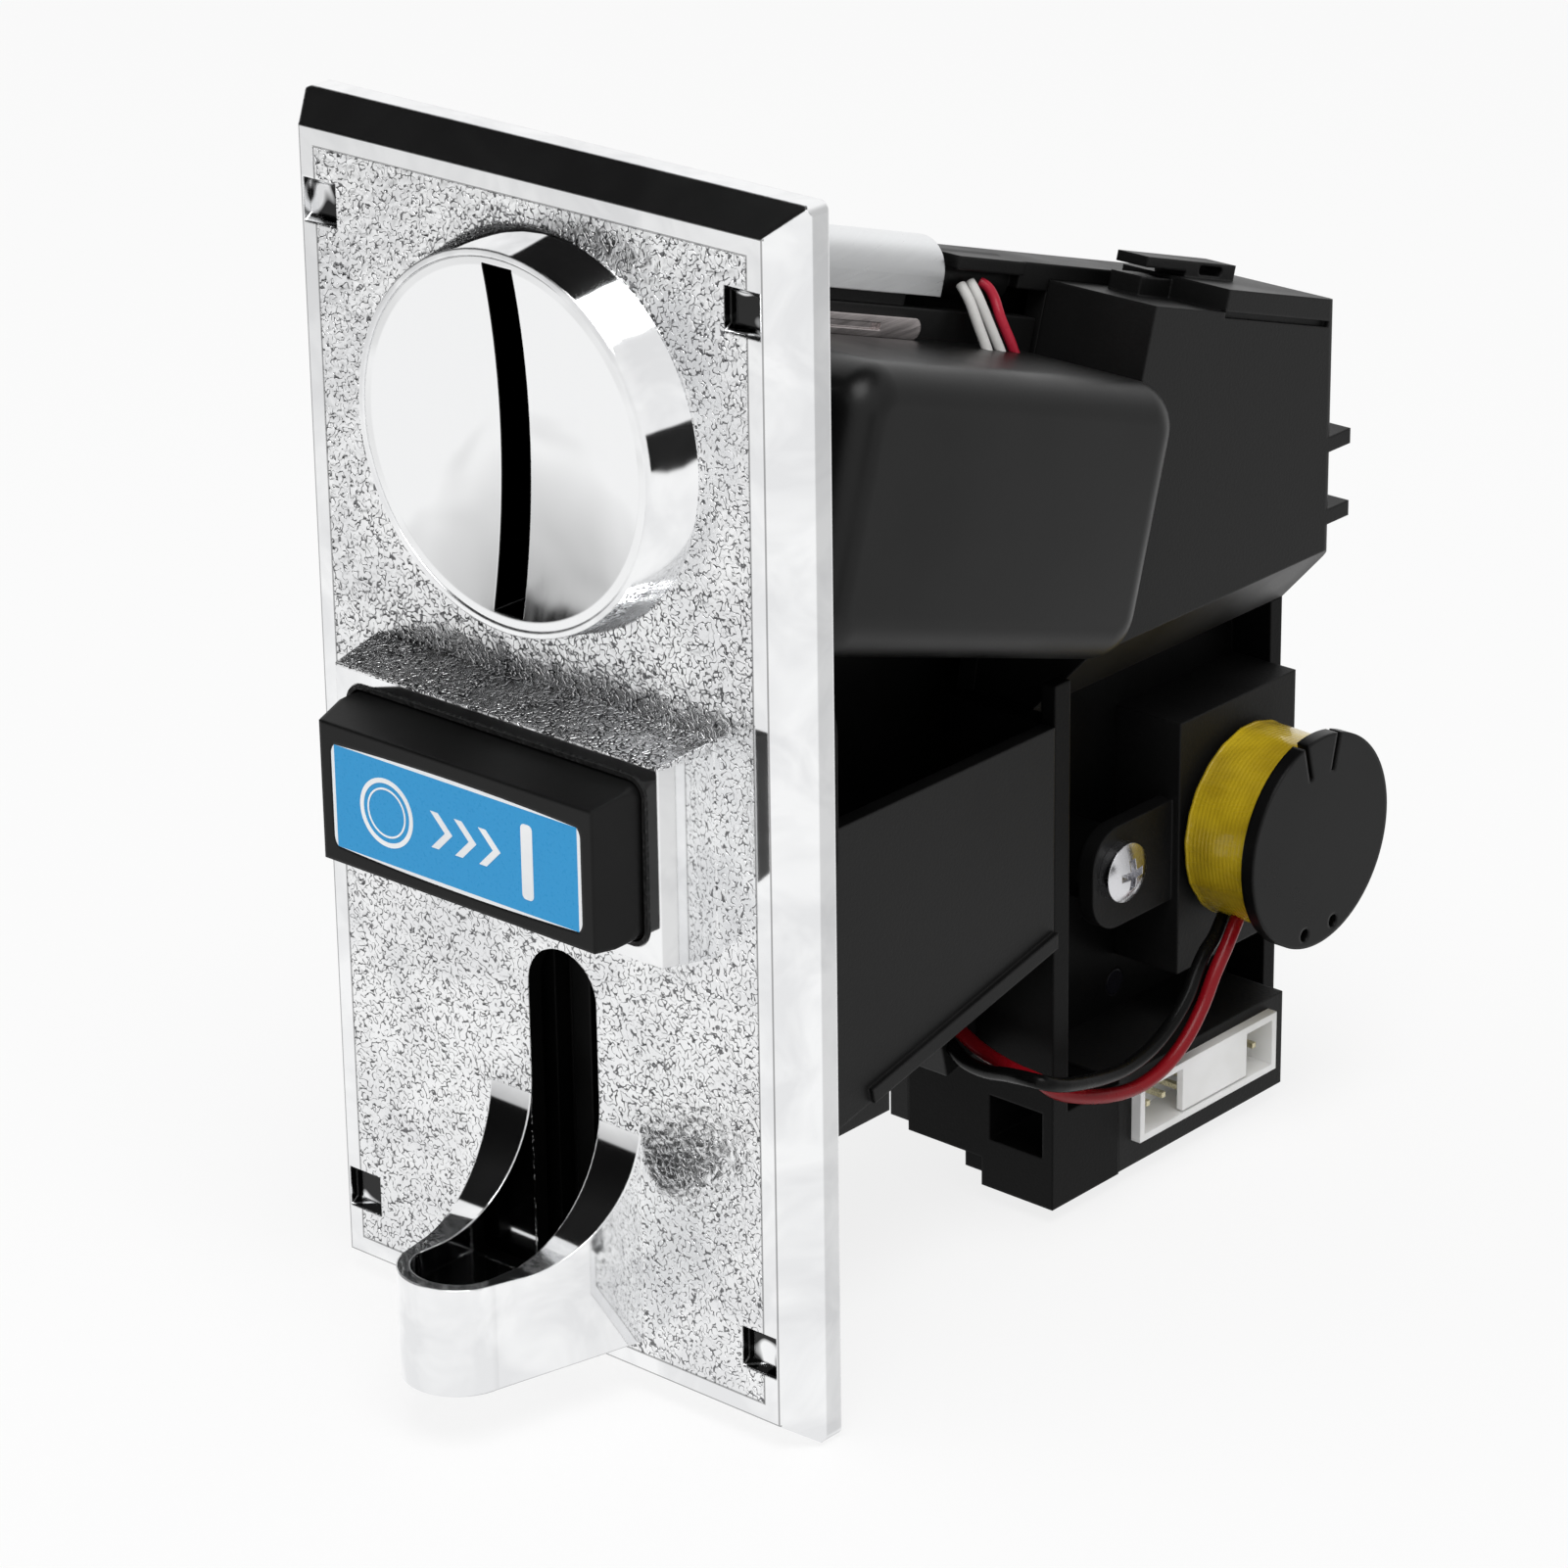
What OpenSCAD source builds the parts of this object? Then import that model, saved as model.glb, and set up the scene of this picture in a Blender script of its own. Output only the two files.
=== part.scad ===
// Coin acceptor for a counter-top or door-mounted coin unit.
// A chromed front plate carries the coin entry, the return button and the return cup. Behind it a hinged
// gate closes the sloping coin track, and a solenoid moves the blade that lets a good coin through.
// Sizes are millimetres. Z is up. The plate's rear face lies on Y = 0 round the origin and it faces -Y.

/* [Front plate] */
// width of the plate
plate_w = 65; // [55:0.5:90]
// height of the plate
plate_h = 127; // [110:0.5:150]
// depth from the rear face to the front face
plate_d = 6.2; // [5:0.1:9]
// straight part of the edge before the bevel
rim_t = 2.3; // [1:0.1:3]
// how far the bevel reaches in from the edge
bevel_in = 2.7; // [1.5:0.1:5]
// corner rounding of the outline
plate_corner_r = 1; // [0.4:0.1:3]
// thickness of the front wall
front_wall = 1.9; // [1.4:0.1:2.5]
// width of the rear rim that rests on the panel
rim_w = 4; // [3:0.1:6]
// sideways place of the panel screws
panel_screw_x = 27.3; // [24:0.1:28]
// height of the panel screws from the middle
panel_screw_z = 53.4; // [48:0.1:56]
// radius of the pilot holes for the panel screws
panel_hole_r = 1.45; // [1:0.05:1.8]
// depth of those pilot holes
panel_hole_depth = 3.8; // [2.5:0.1:4]
// radius of the pillars round the pilot holes
pillar_r = 4.2; // [3:0.1:5]
// side of the square corner recesses
recess_size = 4.5; // [3:0.1:6]
// depth of the square corner recesses
recess_depth = 1.6; // [1:0.1:2]
// side of the recess floor against its mouth
recess_floor_share = 0.5; // [0.3:0.05:1]

/* [Coin entry] */
// sideways middle of the coin's path
coin_x = 1.9; // [0:0.1:4]
// height of the entry ring's middle
entry_z = 36.6; // [30:0.1:40]
// radius of the dished disc
entry_r = 18.3; // [15:0.1:20]
// height of the ring above the plate
ring_d = 5.8; // [4:0.1:8]
// wall of the ring at its front edge
ring_wall = 0.65; // [0.4:0.05:2]
// how much wider the ring is at the plate
ring_flare = 1; // [0:0.1:2]
// thickness of the disc at its rim
entry_t = 3.4; // [2.5:0.1:5]
// depth of the dish
dish_depth = 1.8; // [0:0.1:2.2]
// flat rim round the dish
dish_rim = 0.9; // [0.3:0.1:3]
// wall of the entry's sleeve and of its slot
entry_wall = 1.5; // [1:0.1:2]
// how far the rear flange stands out
entry_flange_w = 1.2; // [0.8:0.1:2]
// coin slot width
slot_w = 3.8; // [2.5:0.1:5]
// coin slot height
slot_h = 34.6; // [25:0.1:35]
// how far the slot's middle sits above the disc's
slot_rise = 0.25; // [0:0.05:0.4]

/* [Return button] */
// sideways middle of the button
button_x = 0.5; // [-2:0.1:3]
// height of the button's middle
button_z = -0.95; // [-4:0.05:4]
// width of the cap
button_w = 38.4; // [30:0.1:42]
// height of the cap
button_h = 16.2; // [12:0.1:18]
// corner rounding of the cap
button_corner_r = 1.4; // [0.5:0.1:3]
// how far the cap stands out of its box
button_rise = 5.5; // [3:0.1:8]
// how much the cap narrows at each end towards its face
button_draft_w = 1.1; // [0:0.1:2]
// how much its top edge slopes in
button_draft_top = 1.25; // [0:0.05:2]
// how much its bottom edge slopes in
button_draft_low = 0.4; // [0:0.05:2]
// wall of the cap
cap_wall = 1.6; // [1.2:0.1:2.5]
// thickness of the cap's stop flange
stop_t = 1.6; // [1:0.1:2.5]
// how far the stop flange stands out
stop_w = 1.5; // [1:0.1:2]
// depth of the box round the button
button_box_d = 6.9; // [5:0.1:9]
// wall of that box at its front
button_box_wall = 1.5; // [1:0.05:3]
// how much wider the box is at the plate
button_box_flare = 0.9; // [0:0.1:2]
// gap round the cap
cap_gap = 0.25; // [0.15:0.05:0.5]
// thickness of the black bezel
gasket_t = 0.45; // [0.3:0.05:1]
// how far the bezel stands out of the box
gasket_proud = 0.2; // [0:0.05:0.5]
// width of the label
label_w = 33.2; // [20:0.1:35]
// height of the label at its middle
label_h = 11.6; // [8:0.1:13]
// how far the label's middle sits below the cap's
label_drop = 0.6; // [0:0.05:1]
// bow of the label's long edges
label_bow = 0.45; // [0.1:0.05:1]
// corner rounding of the label
label_corner_r = 1.5; // [0.5:0.1:3]
// thickness of the label
label_t = 0.5; // [0.2:0.05:0.8]

/* [Button mechanism] */
// wall of the button housing
housing_wall = 1.5; // [1:0.1:2]
// depth of the button housing behind the plate
housing_d = 10.8; // [8:0.1:11]
// room round the stop flange in the housing
housing_room = 0.8; // [0.4:0.1:1.5]
// left side of the push rod
rod_x0 = 0.6; // [0.3:0.1:1]
// right side of the push rod
rod_x1 = 5.7; // [4:0.1:6]
// underside of the push rod
rod_z0 = -1.5; // [-4:0.1:0]
// height of the push rod
rod_h = 5.9; // [3:0.1:8]
// end of the push rod
rod_end_y = 17.5; // [15:0.1:19]
// spring places each side of the button's middle
spring_dx = 13; // [10:0.1:14]
// radius of the button springs to the wire's middle
button_spring_r = 2; // [1.5:0.1:2.5]
// wire radius of the springs
spring_wire_r = 0.25; // [0.15:0.05:0.4]
// turns in each button spring
button_spring_turns = 8; // [5:1:10]
// radius of the posts in the cap
post_r = 3; // [2.4:0.1:3.4]
// radius of the pins that hold the springs
spring_pin_r = 1.3; // [0.8:0.1:1.6]
// length of those pins
spring_pin_l = 2; // [1:0.1:3]
// thickness of the circuit boards
board_t = 1.3; // [1:0.1:1.8]
// width of the lamp board
lamp_board_w = 34; // [20:0.5:40]
// height of the lamp board
lamp_board_h = 15; // [10:0.5:20]
// lamp radius
lamp_r = 2.3; // [1.5:0.1:2.5]
// length of the lamp's straight part
lamp_l = 3; // [1:0.1:4]
// lamp place left of the button's middle
lamp_dx = 6.5; // [5:0.1:8]

/* [Return cup] */
// how far the cup stands out of the plate
cup_reach = 22; // [12:0.1:25]
// outer radius of the cup's nose
cup_nose_r = 6; // [5:0.1:9]
// half the cup's width at the plate
cup_half_w = 10.2; // [8:0.1:14]
// underside of the cup
cup_bottom_z = -57.3; // [-60:0.1:-50]
// height of the rim at the nose
cup_rim_z = -45.4; // [-50:0.1:-40]
// height where the rim meets the plate
cup_top_z = -33; // [-38:0.1:-28]
// radius of the scooped rim
cup_scoop_r = 13; // [8:0.1:15]
// thickness of the cup's floor
cup_floor = 2; // [1.2:0.1:3]
// width of the return slot
return_w = 9.3; // [7:0.1:12]
// top of the return slot
return_top_z = -17.5; // [-25:0.1:-14]

/* [Back frame] */
// thickness of the frame
frame_t = 2; // [1.2:0.1:2.5]
// set back of the frame behind the plate's rim
frame_set_back = 0.3; // [0.1:0.05:0.6]
// sideways place of its screws
frame_screw_x = 18; // [14:0.1:20]
// height of its screws
frame_screw_z = 55; // [50:0.1:56]
// shank radius of its screws
frame_screw_r = 1.15; // [0.8:0.05:1.5]
// radius of the screw bosses
frame_boss_r = 2.8; // [2:0.1:3.4]
// how deep its screws go into the plate
frame_screw_depth = 3; // [1.5:0.1:3.4]
// head radius of the small screws
small_head_r = 2.6; // [2:0.1:3]
// head height of the small screws
small_head_h = 1.3; // [0.8:0.1:2]

/* [Coin track] */
// slope of the coin track in degrees
track_tilt = 17.3; // [12:0.1:22]
// inner width of the coin channel
channel_w = 3.6; // [2.5:0.1:4.5]
// thickness of the chassis wall
chassis_t = 2.5; // [1.8:0.1:3.5]
// length behind the plate
rear_y = 96.2; // [80:0.1:110]
// thickness of the rear wall
rear_wall = 2; // [1.5:0.1:3]
// height of the track floor across the track
track_across = 18; // [15:0.1:20]
// thickness of the track floor
ledge_t = 1.8; // [1.2:0.1:2.5]
// width of the track floor
ledge_w = 3.3; // [2:0.1:3.5]
// start of the track floor along the track
ledge_s0 = -5.2; // [-6:0.1:0]
// end of the track floor along the track
ledge_s1 = 62; // [55:0.1:70]
// height of the chassis top across the track
chassis_across = 53.9; // [50:0.1:56]
// lower edge of the chassis
chassis_low_z = -57.4; // [-60:0.1:-54]

/* [Hinge] */
// hinge axis across the track
hinge_across = 51.5; // [50:0.1:53]
// hinge axis right of the coin's path
hinge_dx = 0.3; // [0:0.1:1]
// radius of the hinge pin
hinge_pin_r = 1.2; // [0.8:0.05:1.6]
// length of the hinge pin
hinge_pin_l = 43.5; // [40:0.1:44]
// radial running fit on the pin
running_gap = 0.05; // [0.02:0.01:0.1]
// start of the front knuckle along the track
knuckle_s0 = 2; // [1:0.1:3]
// end of the front knuckle
knuckle_s1 = 7.6; // [6:0.1:9]
// lower edge of the knuckles across the track
knuckle_across = 48.7; // [48:0.1:49.5]
// start of the rear knuckle
knuckle_s2 = 35.5; // [34:0.1:38]
// end of the rear knuckle
knuckle_s3 = 46.5; // [44:0.1:48]
// radius of the rear knuckle
knuckle_r = 2.6; // [2.2:0.1:3]
// thickness of the plate over the rear knuckle
knuckle_cap_t = 1.4; // [1:0.1:2]
// how far that plate reaches past the hinge axis
knuckle_cap_w = 4.3; // [3:0.1:5]
// radius of the gate's barrel
barrel_r = 3.05; // [2.4:0.05:3.2]
// length of the gate's barrel
barrel_l = 22; // [15:0.1:26]
// end gap between barrel and knuckle
barrel_end_gap = 0.4; // [0.2:0.05:1]
// thickness of the sleeve
sleeve_t = 0.4; // [0.3:0.05:0.8]
// length of the sleeve
sleeve_l = 26.3; // [15:0.1:27]
// how far the sleeve's legs reach below the axis
sleeve_leg = 2; // [1:0.1:2.6]
// radius of the closing spring to the wire's middle
gate_spring_r = 2; // [1.7:0.1:2.4]
// turns in the closing spring
gate_spring_turns = 4; // [3:1:5]

/* [Gate] */
// thickness of the gate
gate_t = 2.3; // [1.5:0.1:3]
// start of the gate along the track
gate_s0 = 2; // [0:0.1:5]
// end of the gate along the track
gate_s1 = 50.6; // [45:0.1:52]
// lower edge of the gate across the track
gate_across0 = 17.5; // [16:0.1:19]
// upper edge of the gate's thick part
gate_across1 = 48.2; // [46:0.1:49]
// thickness of the web up to the barrel
web_t = 1.2; // [1:0.1:2]
// start of the tail that the push rod moves
tail_y0 = 14.9; // [14:0.1:16]
// end of the tail
tail_y1 = 20; // [18:0.1:24]
// start of the nose rib on the tail
tail_nose_y = 17; // [16.5:0.1:18]
// length of the nose rib
tail_nose_l = 2; // [1:0.1:2.5]
// how far the nose rib reaches in
tail_nose_w = 2.1; // [1:0.1:2.5]
// thickness of the steel strip
strip_t = 1.2; // [0.6:0.1:2]
// width of the steel strip
strip_w = 2.2; // [1.5:0.1:3]
// end of the steel strip along the track
strip_s1 = 30.5; // [20:0.1:34]
// width of the slot in the strip
strip_slot_w = 0.7; // [0.4:0.05:1]
// start of that slot
strip_slot_s0 = 6; // [3:0.1:12]
// end of that slot
strip_slot_s1 = 24; // [16:0.1:26]

/* [Sensor cover] */
// start of the cover along the track
cover_s0 = -1; // [-2:0.1:2]
// end of the cover along the track
cover_s1 = 51.2; // [45:0.1:51.2]
// lower edge of the cover across the track
cover_across0 = 16.3; // [15:0.1:17.5]
// upper edge of the cover across the track
cover_across1 = 45.1; // [42:0.1:46]
// depth of the cover
cover_d = 20.8; // [12:0.1:22]
// corner rounding of the cover's outline
cover_corner_r = 4.8; // [3:0.1:8]
// rounding of the cover's outer edges
cover_r = 3; // [3:0.1:8]
// wall of the covers
cover_wall = 1.6; // [1.2:0.1:2.5]
// radius of the larger sensor coil
coil_a_r = 9; // [6:0.1:10]
// radius of the smaller sensor coil
coil_b_r = 5.6; // [4:0.1:7]
// thickness of the sensor coils
sensor_coil_t = 5; // [3:0.1:6]
// larger coil's place along the track
coil_a_s = 26; // [22:0.1:32]
// smaller coil's place along the track
coil_b_s = 42; // [40:0.1:44]
// height of both coils across the track
coil_across = 31; // [28:0.1:34]
// hole radius in the sensor coils
coil_core_r = 2.2; // [1:0.1:3]
// radius of the thin leads
thin_lead_r = 0.55; // [0.4:0.05:0.8]

/* [Rear cover] */
// right side of the body
body_x1 = 20; // [16:0.1:24]
// start of the rear cover along the track
rear_s0 = 51.6; // [51.3:0.1:53]
// where the rear cover steps up
rear_step_s = 63.8; // [60:0.1:68]
// height of its front part across the track
rear_across0 = 52.3; // [50:0.1:53]
// height of its rear part across the track
rear_across1 = 54.7; // [53:0.1:57]
// lower front corner
rear_front_y = 52.5; // [51.5:0.1:54]
// lower front corner across the track
rear_low_across = 17; // [15:0.1:19]
// underside of the rear cover
rear_low_z = -7.7; // [-10:0.1:-5]
// where its lower chamfer starts
rear_chamfer_z = -0.5; // [-3:0.1:2]
// width of that chamfer
rear_chamfer_w = 6.5; // [3:0.1:8]
// rounding of its rear edge
rear_edge_r = 1.5; // [0.5:0.1:3]
// depth and width of its top groove
groove_w = 0.7; // [0.3:0.05:1]
// groove height across the track
groove_across = 52.4; // [50:0.1:53]
// end of the groove along the track
groove_s1 = 82.8; // [70:0.1:85]
// how far the rear hooks stand out
hook_l = 2.8; // [1.5:0.1:4]
// height of a rear hook
hook_h = 1.7; // [1:0.1:3]
// width of a rear hook
hook_w = 3; // [2:0.1:8]
// height of the upper hook
hook_z1 = 10.6; // [8:0.1:14]
// height of the lower hook
hook_z0 = 2.4; // [0:0.1:6]
// left side of the cable clip
clip_x0 = 8.5; // [7:0.1:10]
// width of the cable clip
clip_w = 4; // [3:0.1:6]
// start of the clip's arm along the track
clip_s0 = 59; // [55:0.1:60]
// start of the clip's block
clip_s1 = 66; // [65:0.1:70]
// end of the clip's block
clip_s2 = 74.7; // [74:0.1:80]
// top of the clip across the track
clip_across1 = 56.4; // [55:0.1:58]
// thickness of the clip's arm
clip_t = 1.1; // [0.8:0.1:1.4]
// start of the clip's lower lip
clip_lip_s = 58.5; // [56:0.1:60]
// height of the lower lip
clip_lip_h = 2; // [1:0.1:2.4]
// half height of the clip's hole
clip_hole_r = 0.5; // [0.3:0.05:0.6]
// length of the clip's hole between its round ends
clip_hole_l = 3.2; // [2:0.1:5]

/* [Return chute] */
// thickness of the thin walls
wall_t = 1.8; // [1.2:0.1:2.5]
// top of the chute
chute_top_z = -6.5; // [-10:0.1:-4]
// slope of the chute in degrees
chute_tilt = 13.2; // [8:0.1:20]
// floor of the chute at the plate
chute_z0 = -53; // [-56:0.1:-50]
// rise of the chute's sloping side
chute_side_h = 12; // [6:0.1:14]
// right side of the chute's flat floor
gutter_x1 = 6.6; // [5:0.1:8]
// height of the rib along the chute's lower edge
rib_h = 1.7; // [1:0.1:3]
// how far that rib stands out
rib_d = 0.6; // [0.3:0.05:1]
// length of the deep front part of the chute's wall
chute_front_l = 22.3; // [15:0.1:28]
// lower edge of that part
chute_front_z = -40; // [-43:0.1:-36]
// left side of the lead duct under the chute
duct_x0 = 3; // [1:0.1:5]
// right side of the lead duct
duct_x1 = 9.5; // [8:0.1:12]
// start of the lead duct along the chute
duct_s0 = 44; // [38:0.1:46]
// depth of the lead duct below the chute's floor
duct_h = 4.6; // [3:0.1:6]

/* [Lower body] */
// front face of the lower body
post_y = 48.7; // [45:0.1:50]
// thickness of its front wall
post_t = 2.5; // [1.8:0.1:3.5]
// lower edge of its front wall
post_low_z = -58.5; // [-60:0.1:-56]
// top of the corner post
post_top_z = -2; // [-5:0.1:-1]
// underside of the foot
foot_z = -61.8; // [-64:0.1:-60]
// left side of the foot
foot_x0 = 10.3; // [8:0.1:12]
// inner width of the drop chute
drop_w = 5.9; // [4.5:0.1:7]
// end of the return floor
return_floor_y = 61; // [58:0.1:64]
// rise of the return floor
return_floor_rise = 3; // [2:0.1:4]
// height of the return floor at the front wall
return_floor_z = -42; // [-44:0.1:-40]
// top of the bottom block
block_z = -51; // [-53:0.1:-48]
// end of the foot block
block_y = 60; // [58:0.1:66]
// left side of the latch window
latch_x0 = 11.4; // [10:0.1:13]
// width of the latch window
latch_w = 7.2; // [5:0.1:8]
// height of the latch window
latch_h = 5.2; // [3:0.1:6]
// underside of the latch window
latch_z0 = -56; // [-57:0.1:-52]
// how far the rear flange reaches
flange_x1 = 13.5; // [10:0.1:16]

/* [Solenoid] */
// solenoid axis behind the plate
sol_y = 84.4; // [80:0.1:86]
// height of the solenoid axis
sol_z = -28.8; // [-32:0.1:-26]
// right side of the bracket
bracket_x1 = 17; // [16:0.1:19]
// half the bracket's width
bracket_half_y = 10.6; // [9:0.1:11.5]
// bracket height above the axis
bracket_up = 14; // [12:0.1:16]
// bracket height below the axis
bracket_down = 15.2; // [12:0.1:17]
// half the width of the room inside the bracket
bracket_room_y = 8.5; // [7:0.1:9]
// half the height of the room inside the bracket
bracket_room_z = 8.2; // [6:0.1:10]
// end wall of the bracket
bracket_wall = 1.2; // [1:0.1:2.5]
// screw place behind the plate
ear_y = 64.5; // [63:0.1:68]
// corner radius of the screw ear and half its width
ear_r = 4.2; // [3.6:0.1:5]
// ear height above the screw
ear_up = 5; // [4.4:0.1:7]
// ear height below the screw
ear_down = 6.6; // [4.4:0.1:8]
// thickness of the screw ear
ear_t = 2; // [1.5:0.1:3]
// right side of the screw ear
ear_x1 = 16; // [14:0.1:17]
// radius of the screw boss
sol_boss_r = 4.2; // [3:0.1:5]
// shank radius of the solenoid screw
sol_screw_r = 1.4; // [1:0.05:2]
// length of the solenoid screw's shank
sol_screw_l = 7; // [5:0.1:8]
// head radius of the solenoid screw
sol_head_r = 3.3; // [2.5:0.1:4]
// head height of the solenoid screw
sol_head_h = 2.2; // [1.5:0.1:3]
// width of the cross recess
cross_w = 0.9; // [0.5:0.05:1.2]
// length of the cross recess
cross_l = 3.4; // [2:0.1:4.5]
// depth of the cross recess
cross_depth = 1.2; // [0.6:0.1:1.6]
// core radius of the bobbin
bobbin_core_r = 4; // [3.4:0.1:5]
// radius of the bobbin's inner flange
bobbin_flange_r = 10; // [8:0.1:11]
// thickness of that flange
bobbin_flange_t = 1; // [0.8:0.1:1.6]
// radius of the end disc
disc_r = 12.05; // [10:0.05:13]
// thickness of the end disc
disc_t = 1.6; // [1:0.1:2.5]
// outer face of the end disc
disc_x1 = 28; // [25:0.1:30]
// radius of the taped coil
coil_r = 11; // [9:0.1:11.5]
// width of the slits in the end disc
slit_w = 0.7; // [0.4:0.05:1]
// length of those slits
slit_l = 4.2; // [2:0.1:5]
// angle between slit and vertical in degrees
slit_angle = 14; // [8:1:25]
// radius of the lead holes in the end disc
lead_hole_r = 0.75; // [0.5:0.05:1]
// plunger radius
plunger_r = 2.4; // [2:0.05:3]
// accept gate travel
accept_travel = 3.6; // [3:0.1:5]
// blade thickness
blade_t = 1.4; // [1:0.1:2]
// blade length along its slope
blade_l = 15; // [10:0.1:16]
// how far the blade stops short of the chassis wall
blade_gap = 0.4; // [0.3:0.1:1]
// blade drop below the axis at its middle
blade_drop = 5; // [4:0.1:7]
// carrier thickness
carrier_t = 1.2; // [0.8:0.1:1.6]
// half the carrier's width
carrier_half_y = 7.9; // [6:0.1:8.2]
// carrier height below the axis
carrier_down = 7.6; // [6:0.1:9]
// carrier height above the axis
carrier_up = 4.2; // [3:0.1:6]
// radius of the plunger spring to the wire's middle
plunger_spring_r = 3.1; // [2.8:0.1:4]
// turns in the plunger spring
plunger_spring_turns = 3; // [2:1:4]
// radius of the coil leads
lead_r = 0.8; // [0.5:0.05:1]

/* [Connector] */
// start of the housing behind the plate
conn_y0 = 62.2; // [61:0.1:70]
// length of the housing
conn_l = 24.2; // [12:0.1:25]
// underside of the housing
conn_z0 = -58.6; // [-60:0.1:-57]
// height of the housing
conn_h = 6.9; // [5:0.1:8]
// depth of the housing
conn_d = 5.3; // [4:0.1:8]
// how far the housing stands out of its carrier
conn_proud = 1.2; // [0.5:0.1:2]
// wall of the housing
conn_wall = 0.8; // [0.6:0.05:1.2]
// start of the middle tab
conn_tab_y = 7.4; // [3:0.1:8]
// height of the middle tab's lower end above the housing's underside
conn_tab_rise = 1.1; // [0.8:0.1:3]
// width of the middle tab
conn_tab_w = 11.4; // [4:0.1:12]
// top of the carrier
carrier_z1 = -50.5; // [-51:0.1:-48]
// end of the carrier
carrier_y1 = 89; // [86:0.1:92]
// pins in the connector
pin_count = 8; // [4:1:10]
// pin thickness
pin_w = 0.6; // [0.4:0.05:0.8]
// pin length in the housing
pin_l = 3.5; // [2:0.1:4]

/* [Side electronics] */
// left side of the side cover
side_x0 = -12; // [-15:0.1:-9]
// front of the side cover
side_y0 = 22; // [20:0.1:24]
// rear of the side cover
side_y1 = 92; // [84:0.1:94]
// underside of the side cover
side_z0 = -45; // [-50:0.1:-40]
// top of the side cover across the track
side_across1 = 44; // [42:0.1:50]
// thickness of the fixed coils
fixed_coil_t = 3.4; // [2:0.1:4]
// half the width of the chip on the board
chip_half = 5; // [3:0.1:8]
// thickness of the chip
chip_t = 1.2; // [0.8:0.1:2]
// radius of the exit sensor's eyes
eye_r = 1.5; // [1:0.1:2]
// length of the exit sensor's eyes
eye_l = 4; // [3:0.1:5]
// exit sensor behind the plate
eye_y = 74; // [70:0.1:80]
// height of the exit sensor
eye_z = -47.5; // [-49:0.1:-46]

/* [Gaps] */
// gap between pieces that move against each other
part_gap = 0.3; // [0.2:0.05:0.5]
// gap between seated pieces
fit_gap = 0.05; // [0.02:0.01:0.1]

/* [Hidden] */
over = 1;
plate_face = -plate_d;
wall_face = front_wall - plate_d;
frame_y1 = -frame_set_back;
frame_y0 = frame_y1 - frame_t;
ring_face = plate_face - ring_d;
ring_r = entry_r + fit_gap + ring_wall;
entry_face = ring_face + fit_gap * 2;
dish_mouth_r = entry_r - dish_rim;
dish_ball_r = (dish_mouth_r * dish_mouth_r + dish_depth * dish_depth) / (2 * dish_depth);
slot_z = entry_z + slot_rise;
slot_x0 = coin_x - slot_w / 2;
slot_x1 = coin_x + slot_w / 2;

button_opening_w = button_w + 2 * (cap_gap + gasket_t);
button_opening_h = button_h + 2 * (cap_gap + gasket_t);
button_box_w = button_opening_w + 2 * button_box_wall;
button_box_h = button_opening_h + 2 * button_box_wall;
button_box_face = plate_face - button_box_d;
cap_step = button_box_face - gasket_proud;
cap_face = cap_step - button_rise;
cap_inner = cap_face + cap_wall;
stop_y0 = wall_face + part_gap;
stop_y1 = stop_y0 + stop_t;
housing_z0 = button_z - button_h / 2 - stop_w - housing_room - housing_wall - part_gap;
housing_z1 = 2 * button_z - housing_z0;
housing_y = housing_d - housing_wall;
lamp_y = housing_y - board_t;

cup_nose_y = plate_face - cup_reach + cup_nose_r;
cup_angle = atan2(cup_reach - cup_nose_r, cup_half_w)
  - acos(cup_nose_r / norm([cup_half_w, cup_reach - cup_nose_r]));
cup_scoop_y = plate_face - cup_scoop_r;
return_x0 = coin_x - return_w / 2;
return_x1 = coin_x + return_w / 2;
return_floor = cup_bottom_z + cup_floor;

channel_x0 = coin_x - channel_w / 2;
channel_x1 = coin_x + channel_w / 2;
chassis_x0 = channel_x0 - chassis_t;
hinge_x = coin_x + hinge_dx;
sleeve_in_r = barrel_r + part_gap;
sleeve_out_r = sleeve_in_r + sleeve_t;
barrel_s0 = knuckle_s1 + barrel_end_gap;
barrel_s1 = barrel_s0 + barrel_l;
gate_x1 = channel_x1 + gate_t;
cover_x1 = gate_x1 + cover_d;
sensor_board_x = gate_x1 + sensor_coil_t;
rear_wall_y = rear_y - rear_wall;
drop_x1 = channel_x0 + drop_w;
drop_wall_x1 = drop_x1 + chassis_t - fit_gap * 4;
post_y1 = post_y + post_t;
chute_skin = wall_t / cos(chute_tilt);
rib_v = chute_side_h - wall_t;
chute_grade = chute_side_h / (body_x1 - gutter_x1);

bobbin_x0 = bracket_x1;
coil_x0 = bobbin_x0 + bobbin_flange_t;
disc_x0 = disc_x1 - disc_t;
plunger_bore_r = plunger_r + running_gap * 2;
carrier_x0 = drop_wall_x1 + part_gap;
carrier_x1 = carrier_x0 + carrier_t;
blade_y = sol_y;
blade_z = sol_z - blade_drop;
conn_x1 = body_x1 + conn_proud;
conn_x0 = conn_x1 - conn_d;
side_board_x = chassis_x0 - fixed_coil_t;

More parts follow.
